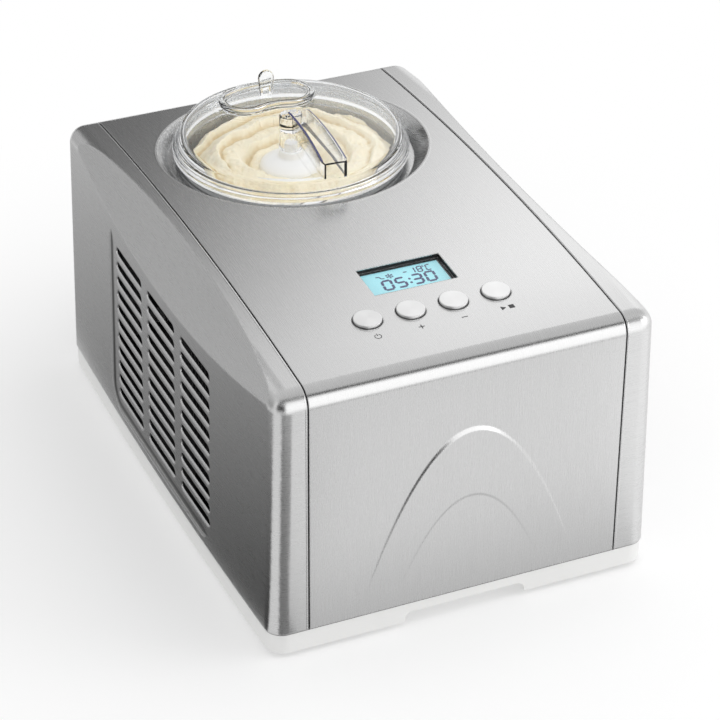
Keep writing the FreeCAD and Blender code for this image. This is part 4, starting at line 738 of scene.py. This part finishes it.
def display_signs():
    """The reading on the display: a clock, a temperature and two small signs."""
    shapes = []
    for index, sign in enumerate("0530"):
        left = -18.6 + index * 9.9 + (2.6 if index > 1 else 0)
        shapes += digit(sign, (left, -7.8), 6.4, 10.8, 1.9)
    shapes += [disc((1.7, -4.9), 1.0), disc((2.1, -0.3), 1.0)]
    for index, sign in enumerate("-18C"):
        left = 0.5 + index * 5.6 + (1.0 if index == 3 else 0)
        shapes += digit(sign, (left, 5.2), 3.3, 6.2, 1.0)
    shapes += ring_run((16.6, 10.6), 0.75, 0.5, 0, 360, 16)
    flake = Vector((-9.5, 7.6))
    for spoke in range(3):
        turn = math.radians(60 * spoke + 30)
        reach = Vector((math.cos(turn), math.sin(turn)))
        shapes.append(bar(flake - reach * 3.0, flake + reach * 3.0, 0.55))
        for end in (-1, 1):
            for lean in (-0.7, 0.7):
                twig = Vector((math.cos(turn + lean), math.sin(turn + lean))) * end
                shapes.append(bar(flake + reach * end * 1.6, flake + reach * end * 1.6 + twig * 1.2, 0.45))
    stem = Vector((-17.0, 7.4))
    shapes.append(bar(stem + Vector((-2.6, 1.6)), stem + Vector((0.3, 1.2)), 0.9))
    shapes.append(bar(stem + Vector((0.0, 1.3)), stem + Vector((0.9, -1.3)), 0.9))
    shapes.append(bar(stem + Vector((0.6, -1.1)), stem + Vector((3.2, -1.5)), 0.9))

    def on_panel(spot, lift):
        return CONTROL @ Vector((spot.x, DISPLAY_ROW + spot.y, PANEL_FACE + lift))
    points, faces = raised(shapes, on_panel, 0.1)
    piece("display_signs", points, faces, SEGMENT, "housing", False)


def button_signs():
    """A plain sign in front of each button."""
    shapes = []
    xs = [(index - 1.5) * BUTTON_PITCH - 0.6 for index in range(4)]
    row = CONTROL_Y - 39.0
    shapes += ring_run((xs[0], row), 2.3, 0.6, 120, 420)
    shapes.append(bar((xs[0], row + 0.4), (xs[0], row + 3.2), 0.6))
    shapes.append(bar((xs[1] - 2.4, row), (xs[1] + 2.4, row), 0.75))
    shapes.append(bar((xs[1], row + 0.38), (xs[1], row + 2.4), 0.75))
    shapes.append(bar((xs[1], row - 2.4), (xs[1], row - 0.38), 0.75))
    shapes.append(bar((xs[2] - 2.4, row), (xs[2] + 2.4, row), 0.75))
    shapes.append([Vector((xs[3] - 4.6, row - 2.2)), Vector((xs[3] - 0.9, row)),
                   Vector((xs[3] - 4.6, row + 2.2))])
    shapes.append([Vector((xs[3] + 1.2, row - 2.0)), Vector((xs[3] + 5.2, row - 2.0)),
                   Vector((xs[3] + 5.2, row + 2.0)), Vector((xs[3] + 1.2, row + 2.0))])

    def on_top(spot, lift):
        return Vector((spot.x, spot.y, top_level(spot.y) - 0.01 + lift))
    points, faces = raised(shapes, on_top, 0.06)
    piece("button_signs", points, faces, INK, "housing", False)


def button_gaskets():
    """A dark ring in the gap round each button."""
    points, faces = [], []
    count = 64
    for index in range(4):
        middle = Vector(((index - 1.5) * BUTTON_PITCH, BUTTON_ROW))
        first = len(points)
        for reach, level in ((10.08, -1.4), (10.66, -1.4), (10.66, -0.5), (10.08, -0.5)):
            for step in range(count):
                turn = 2 * math.pi * step / count
                spot = middle + Vector((math.cos(turn), math.sin(turn))) * reach
                points.append(CONTROL @ Vector((spot.x, spot.y, level)))
        faces += grid_faces(4, count, True, True, first)
    item = piece("button_gaskets", points, faces, RUBBER, "housing")
    outward(item.data)
    creased(item)


# Clear lid, with its handle ridge, filler collar and the boss for the paddle's pin.
def kidney(half, level, count=10):
    """A ring of points round the bean-shaped filler, at a distance from its middle line."""
    arc, spread_angle = 51.0, math.radians(20)
    ring = []
    for step in range(2 * count + 1):
        turn = math.pi / 2 + spread_angle * (1 - step / count)
        ring.append((arc + half, turn))
    outline = [Vector((reach * math.cos(turn), BOWL_Y + reach * math.sin(turn))) for reach, turn in ring]

    def cap(side):
        turn = math.pi / 2 - side * spread_angle
        middle = Vector((arc * math.cos(turn), BOWL_Y + arc * math.sin(turn)))
        outs = [turn - side * math.pi * step / (2 * count) for step in range(1, 2 * count)]
        return [middle + Vector((math.cos(out), math.sin(out))) * half for out in outs]
    inner = [Vector(((arc - half) * math.cos(turn), BOWL_Y + (arc - half) * math.sin(turn)))
             for reach, turn in reversed(ring)]
    return [(spot.x, spot.y, level) for spot in outline + cap(1) + inner + list(reversed(cap(-1)))]


RIDGE_TURN = Matrix.Rotation(math.radians(-4.0), 2)
RIDGE_SHARES = [2 * step / 24 - 1 for step in range(25)]


def ridge_spot(across, share, inset):
    """A place on the handle ridge's plan, and the height of its crown there."""
    round_end = 1 - max(0.0, abs(share) - 0.93) / 0.07 * 0.12
    spot = RIDGE_TURN @ Vector((across * round_end, share * (44.0 - inset)))
    return 4.2 + spot.x, BOWL_Y - 38.0 + spot.y, LID_TOP + 11.5 + 4.0 * (1 - share ** 2) - inset


def ridge_half(share):
    """Half the ridge's width, which grows towards the front."""
    return 9.0 - 0.8 * share


def ridge_solid(inset, low):
    """The handle ridge's outside, or its inside when inset, crowned along its top and turned a little."""
    rings = []
    for share in RIDGE_SHARES:
        half_width = ridge_half(share) - inset
        top = ridge_spot(0, share, inset)[2]
        section = [(-half_width, low), (half_width, low), (half_width, top), (-half_width, top)]
        bend = [0, 0, 0 if inset else 1.3, 0 if inset else 1.3]
        rings.append([(*ridge_spot(x, share, inset)[:2], z) for x, z in soften(section, bend)])
    return solid(*stacked(rings))


def ridge_edges():
    """The tinted lines along the ridge's two top edges."""
    points, faces = [], []
    for side in (-1, 1):
        first = len(points)
        for share in RIDGE_SHARES[1:-1]:
            x, y, z = ridge_spot(side * (ridge_half(share) - 0.8), share, 0)
            points += [(x - 0.7, y, z - 0.8), (x + 0.7, y, z - 0.8), (x, y, z - 0.12)]
        faces += grid_faces(len(RIDGE_SHARES) - 2, 3, closed_columns=True, first=first)
        faces += [[first, first + 1, first + 2], [len(points) - 1, len(points) - 2, len(points) - 3]]
    item = piece("ridge_edges", points, faces, VIOLET, "lid", False)
    outward(item.data)


def raised_by(base, section):
    """A section whose levels are given from a base level."""
    return [(reach, base + level) for reach, level in section]


def make_lid():
    """The whole lid as one clear solid."""
    section = raised_by(BOWL_RIM, [(79.0, -4.6), (81.0, -4.6), (81.0, 0.3), (88.35, 0.3), (88.35, 5.3),
                                   (86.0, 5.6), (86.0, 8.2), (84.0, 8.5), (82.7, 17.0), (0, 17.0), (0, 15.0),
                                   (80.6, 15.0), (79.0, 2.0)])
    bends = [0.6, 0.6, 0.4, 0.9, 1.3, 0.8, 1.0, 0.8, 4.0, 0, 0, 2.6, 1.0]
    shell = solid(*lathe(soften(section, bends)))
    boss = raised_by(BOWL_RIM, [(9.2, -0.4), (8.9, 15.6), (8.5, 28.3), (0, 28.4), (0, -0.4)])
    boss = solid(*lathe(soften(boss, [0.3, 2, 1.4, 0, 0]), 64))
    bore = solid(*lathe(raised_by(BOWL_RIM, [(5.3, -1.5), (5.3, 15.0), (0, 15.0), (0, -1.5)]), 48))
    collar = [kidney(half, LID_TOP + level) for half, level in ((18.9, -1.5), (18.9, 1.5), (18.5, 2.0))]
    filler = [kidney(17.0, LID_TOP + level) for level in (-3.0, 3.0)]
    mesh = combined(shell, ("UNION", ridge_solid(0, LID_TOP - 1.8)), ("UNION", solid(*stacked(collar))),
                    ("DIFFERENCE", ridge_solid(2.0, LID_TOP - 3.0)), ("UNION", boss), ("DIFFERENCE", bore),
                    ("DIFFERENCE", solid(*stacked(filler))))
    item = creased(finished("clear_lid", outward(mesh), CLEAR, "lid"))
    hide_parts("lid")
    return item


def make_cap():
    """The filler's cap, with a rounded rim, a groove round its top, a plug below and a finger tab."""
    profile = [(14.6, 0.14), (14.6, -3.36), (16.6, -3.46), (16.7, 0), (19.4, 0.04), (19.85, 0.4), (20.0, 1.1),
               (19.95, 2.1), (19.6, 2.8), (18.9, 3.18), (17.4, 3.2), (16.6, 2.9), (16.2, 2.3), (15.2, 2.3),
               (14.8, 2.6)]
    body = solid(*stacked([kidney(half, level) for half, level in raised_by(CAP_LOW, profile)]))
    outline = [Vector((-5.0, -0.5)), Vector((5.0, -0.5)), Vector((5.6, 6.0))]
    for step in range(15):
        turn = math.pi * step / 14
        outline.append(Vector((6.2 * math.cos(turn), 13.0 + 6.45 * math.sin(turn))))
    outline.append(Vector((-5.6, 6.0)))
    slices = [(-1.5, 0.93), (-1.1, 0.985), (-0.4, 1.0), (0.4, 1.0), (1.1, 0.985), (1.5, 0.93)]
    rings = [[(spot.x * size, BOWL_Y + 49 + depth, CAP_TOP - 0.5 + (spot.y + 0.5) * (0.6 + 0.4 * size))
              for spot in outline] for depth, size in slices]
    tab = solid(*stacked(rings))
    gussets = []
    for side in (-1, 1):
        rings = [[(side * x, BOWL_Y + 49 + run, CAP_TOP + rise)
                  for run, rise in ((1.2, -0.5), (6.0, -0.5), (4.2, 1.6), (1.2, 6.1))] for x in (2.6, 3.8)]
        gussets.append(("UNION", solid(*stacked(rings))))
    mesh = outward(combined(body, ("UNION", tab), *gussets))
    item = creased(finished("clear_cap", mesh, CLEAR, "cap"))
    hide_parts("filler_cap")
    return item


# Paddle: a bell-shaped hub and a blade with two windows.
def make_paddle():
    """The stirring paddle, moulded in one piece."""
    hub = [(11.3, PADDLE_LOW), (14.3, PADDLE_LOW), (14.3, 148), (16.0, 170), (21.0, 190), (24.0, 197.4),
           (23.0, 201.4), (17.0, 204.8), (9.4, 206.6), (8.4, 212.2), (5.0, 212.4), (4.9, 219.0), (0, 219.0),
           (0, 168.6), (11.3, 168.4)]
    bends = [0.4, 0.8, 4, 8, 6, 2.4, 3, 3, 1.6, 1.6, 0.5, 0.8, 0, 0, 0.3]
    hub = solid(*lathe(soften(hub, bends), 96))
    outline = soften([(-79.6, PADDLE_LOW), (79.6, PADDLE_LOW), (79.6, 191.8), (-79.6, 191.8)], [5, 5, 9, 9])
    blade = solid(*stacked([[(p.x * s, BOWL_Y + d, 156.6 + (p.y - 156.6) * s) for p in outline]
                            for d, s in ((-2.0, 0.992), (-1.2, 1.0), (1.2, 1.0), (2.0, 0.992))]))
    cuts = []
    for side in (-1, 1):
        near, far = side * 28.5, side * 70.5
        hole = soften([(near, 130.5), (far, 130.5), (far, 182.8), (near, 182.8)], 7)
        rings = [[(p.x, BOWL_Y + depth, p.y) for p in hole] for depth in (-4, 4)]
        cuts.append(("DIFFERENCE", solid(*stacked(rings))))
    room = solid(*lathe([(11.3, 118.0), (11.3, 168.4), (0, 168.4), (0, 118.0)], 64))
    mesh = combined(hub, ("UNION", combined(blade, *cuts)), ("DIFFERENCE", room))
    item = creased(finished("stirring_paddle", mesh, PADDLE, "paddle"), 40)
    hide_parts("paddle")
    return item


# Ice cream: a churned, spiralling surface that turns with the paddle.
def eased(value, low, high):
    """A smooth step from 0 to 1 between two values."""
    share = max(0.0, min(1.0, (value - low) / (high - low)))
    return share * share * (3 - 2 * share)


def cream_height(x, y):
    """Height of the churned surface at a place relative to the bowl's axis."""
    spot = Vector((x, y, 0))
    wander = noise.noise(spot * 0.024 + Vector((3, 1, 5))) * 7.0 + noise.noise(spot * 0.07) * 2.2
    reach, turn = math.hypot(x, y), math.atan2(y, x)
    arm = (reach + wander) / 17.0 - (turn - math.radians(165)) / (2 * math.pi)
    fold = arm - math.floor(arm)
    layer = eased(fold, 0.0, 0.22) * (1 - fold) ** 0.7
    left = 0.5 - 0.5 * math.cos(turn - math.radians(156) + math.pi)
    height = 199.0 + 7.5 * eased(reach, 24, 52) + 7.0 * layer * (0.6 + 0.7 * left) * eased(reach, 22, 33)
    behind = math.remainder(turn - math.radians(145), 2 * math.pi) / math.radians(34)
    height -= 9.0 * math.exp(-behind ** 2) * eased(reach, 48, 74)
    height -= 4.0 * eased(reach, 68, 80)
    off_crevice = math.hypot(x + 30.0, (y - 10.0) * 0.6)
    height -= 7.5 * math.exp(-(off_crevice / 7.0) ** 2)
    height += noise.noise(spot * 0.10 + Vector((7, 1, 2))) * 1.6
    height += noise.noise(spot * 0.33 + Vector((1, 5, 9))) * 0.75
    height += noise.noise(spot * 0.95 + Vector((4, 2, 6))) * 0.35
    return min(height, 213.5)


def make_cream():
    """The contents of the bowl, closed all round."""
    rings, around = 96, 420
    inner, outer = 16.0, 78.7
    points = []
    for ring in range(rings + 1):
        reach = inner + (outer - inner) * ring / rings
        for step in range(around):
            turn = 2 * math.pi * step / around
            ragged = reach
            if ring > rings - 4:
                wave = noise.noise(Vector((math.cos(turn) * 6, math.sin(turn) * 6, 0)))
                ragged -= (0.8 + wave) * 0.5 * (ring - rings + 4)
            x, y = ragged * math.cos(turn), ragged * math.sin(turn)
            points.append((x, BOWL_Y + y, cream_height(x, y)))
    faces = grid_faces(rings + 1, around, closed_columns=True, flipped=True)
    edge, hub = rings * around, 0
    below = len(points)
    for reach in (outer - 1.0, inner):
        for step in range(around):
            turn = 2 * math.pi * step / around
            points.append((reach * math.cos(turn), BOWL_Y + reach * math.sin(turn), 123.0))
    for step in range(around):
        turn = (step + 1) % around
        faces.append([edge + step, below + step, below + turn, edge + turn])
        faces.append([below + step, below + around + step, below + around + turn, below + turn])
        faces.append([below + around + step, hub + step, hub + turn, below + around + turn])
    item = piece("ice_cream", points, faces, CREAM, "paddle")
    # How far each point sits below its neighbours, which sets the painted shade in the cream's hollows.
    hollow_shade = item.data.attributes.new("hollow_shade", "FLOAT", "POINT")
    for ring in range(rings + 1):
        for step in range(around):
            near = [min(rings, ring + 4) * around + step, max(0, ring - 4) * around + step,
                    ring * around + (step + 4) % around, ring * around + (step - 4) % around]
            sunk = sum(points[index][2] for index in near) / 4 - points[ring * around + step][2]
            hollow_shade.data[ring * around + step].value = max(0.0, min(1.0, (sunk - 0.1) / 1.3))
    outward(item.data)
    return item


# Floor, lights and the cards that the steel reflects.
def stage_sheet(name, corners):
    """A flat sheet of the surroundings, with an empty material."""
    mesh = bpy.data.meshes.new(name)
    mesh.from_pydata(corners, [], [(0, 1, 2, 3)])
    item = bpy.data.objects.new(name, mesh)
    scene.collection.objects.link(item)
    material = bpy.data.materials.new(name)
    material.use_nodes = True
    material.node_tree.nodes.clear()
    mesh.materials.append(material)
    return item, material.node_tree


def make_floor():
    """A white floor that keeps the shadow near the object and runs out to plain white."""
    item, tree = stage_sheet("floor", [(-9, -9, 0), (9, -9, 0), (9, 9, 0), (-9, 9, 0)])
    place = node(tree, "NewGeometry").outputs["Position"]
    away = vector_maths(tree, "LENGTH", place).outputs["Value"]
    inputs = {"Value": away, "From Min": 0.24, "From Max": 0.58, "To Min": 0.35}
    far = node(tree, "MapRange", inputs, interpolation_type="SMOOTHSTEP").outputs["Result"]
    matt = node(tree, "BsdfDiffuse", {"Color": (0.97, 0.97, 0.97, 1)}).outputs[0]
    white = node(tree, "Emission", {"Color": (1, 1, 1, 1), "Strength": 1.0}).outputs[0]
    mix = node(tree, "MixShader", {0: far, 1: matt, 2: white}).outputs[0]
    node(tree, "OutputMaterial", {"Surface": mix})


def card(name, corners, tones):
    """A grey card that only reflections see, with one grey level, or one at each of its corners."""
    item, tree = stage_sheet(name, corners)
    shade = item.data.color_attributes.new("shade", "FLOAT_COLOR", "POINT")
    for index in range(4):
        tone = tones[index] if isinstance(tones, tuple) else tones
        shade.data[index].color = (tone, tone, tone, 1)
    tone = node(tree, "VertexColor", layer_name="shade").outputs["Color"]
    light = node(tree, "Emission", {"Color": tone, "Strength": 1.0}).outputs[0]
    node(tree, "OutputMaterial", {"Surface": light})
    for kind in ("camera", "diffuse", "transmission", "shadow", "volume_scatter"):
        setattr(item, f"visible_{kind}", False)


def make_light():
    """Soft light from above and all round, on a white background."""
    world = bpy.data.worlds.new("studio")
    world.use_nodes = True
    tree = world.node_tree
    tree.nodes.clear()
    path = node(tree, "LightPath").outputs
    seen = maths(tree, "MAXIMUM", path["Is Camera Ray"],
                 maths(tree, "MAXIMUM", path["Is Glossy Ray"], path["Is Transmission Ray"]))
    strength = node(tree, "MapRange", {"Value": seen, "To Min": 0.75, "To Max": 1.0}).outputs["Result"]
    light = node(tree, "Background", {"Color": (1, 1, 1, 1), "Strength": strength}).outputs[0]
    node(tree, "OutputWorld", {"Surface": light})
    scene.world = world
    aim = Vector((0, 0, 0.1))
    for name, place, wide, tall, power in (("softbox", Vector((0.35, -0.25, 1.5)), 1.3, 1.1, 6.0),
                                           ("fill", Vector((1.5, -0.9, 0.9)), 1.0, 1.0, 7.0)):
        data = bpy.data.lights.new(name, "AREA")
        data.shape = "RECTANGLE"
        data.size, data.size_y = wide, tall
        data.energy = power
        lamp = bpy.data.objects.new(name, data)
        lamp.location = place
        lamp.rotation_euler = (aim - place).to_track_quat("-Z", "Y").to_euler()
        scene.collection.objects.link(lamp)


def floor_card(name, corners, tones):
    """A card that lies just over the floor."""
    card(name, [(x, y, CARD_LIFT) for x, y in corners], tones)


def wall_card(name, first, last, low, high, tones):
    """An upright card between two places on the floor."""
    card(name, [(*first, low), (*last, low), (*last, high), (*first, high)], tones)


def make_cards():
    """The surroundings that give the steel its light and dark parts."""
    floor_card("card_left", [(-0.5, -0.19), (-0.155, -0.19), (-0.155, 0.8), (-0.5, 0.8)],
               (0.15, 0.03, 0.68, 0.85))
    wall_card("card_left_far", (-1.3, -0.19), (-0.3, 1.3), 0.0, 0.9, (0.25, 0.60, 0.85, 0.75))
    floor_card("card_corner", [(-0.145, -0.214), (-0.40, -0.52), (-0.02, -0.64), (-0.120, -0.222)], 0.22)
    wall_card("card_shoulder", (-0.9, 1.2), (-0.45, 1.2), 0.2, 1.62, 1.15)
    wall_card("card_back_left", (-0.45, 1.2), (0.28, 1.2), 0.2, 1.62, (0.08, 0.13, 0.33, 0.20))
    wall_card("card_back", (0.28, 1.2), (0.75, 1.2), 0.2, 1.62, (0.13, 1.10, 1.65, 0.33))
    wall_card("card_back_right", (0.75, 1.2), (2.0, 1.2), 0.2, 1.62, (1.10, 1.10, 1.50, 1.65))
    card("card_over", [(-1.5, 1.15, 1.62), (2.5, 1.15, 1.62), (2.5, -0.73, 1.1), (-1.5, -0.73, 1.1)],
         (0.85, 0.85, 0.68, 0.68))
    card("card_dark", [(-1.5, -0.73, 1.1), (2.5, -0.73, 1.1), (2.5, -1.1, 1.1), (-1.5, -1.1, 1.1)], 0.0)
    wall_card("card_front", (-0.42, -1.25), (1.6, -1.25), 0.0, 1.0, 1.6)
    floor_card("card_front_floor", [(-0.42, -1.25), (1.6, -1.25), (1.6, -0.70), (-0.42, -0.70)],
               (1.6, 1.6, 1.4, 1.4))
    floor_card("card_front_line", [(-0.42, -0.64), (1.2, -0.64), (1.2, -0.55), (-0.42, -0.55)], 0.45)
    floor_card("card_foot", [(-0.12, -0.32), (0.3, -0.32), (0.3, -0.214), (-0.12, -0.214)],
               (0.97, 1.0, 0.75, 0.66))
    floor_card("card_right_floor", [(0.135, -0.212), (0.36, -0.665), (0.6, -0.665), (0.6, -0.212)], 1.25)
    wall_card("card_front_left", (-1.25, -0.62), (-0.48, -1.2), 0.02, 0.75, 0.0)
    wall_card("card_right", (1.6, -1.2), (1.6, 0.4), 0.0, 0.6, 1.3)


make_camera()
make_floor()
make_light()
make_cards()
for side, word in ((-1, "left"), (1, "right")):
    vent_lips(side, word)
    side_rib(side, word)
    seam_edges(side, word)
base_shade_line()
inside_shade_sheet()
recess_lip()
display_signs()
button_signs()
button_gaskets()
ridge_edges()
see_through = [make_lid(), make_cap(), nodes["display_window"]]
make_paddle()
make_cream()
for item in see_through:
    item.visible_shadow = False
    item.visible_diffuse = False
scene.view_settings.view_transform = "Standard"

bpy.context.view_layer.update()
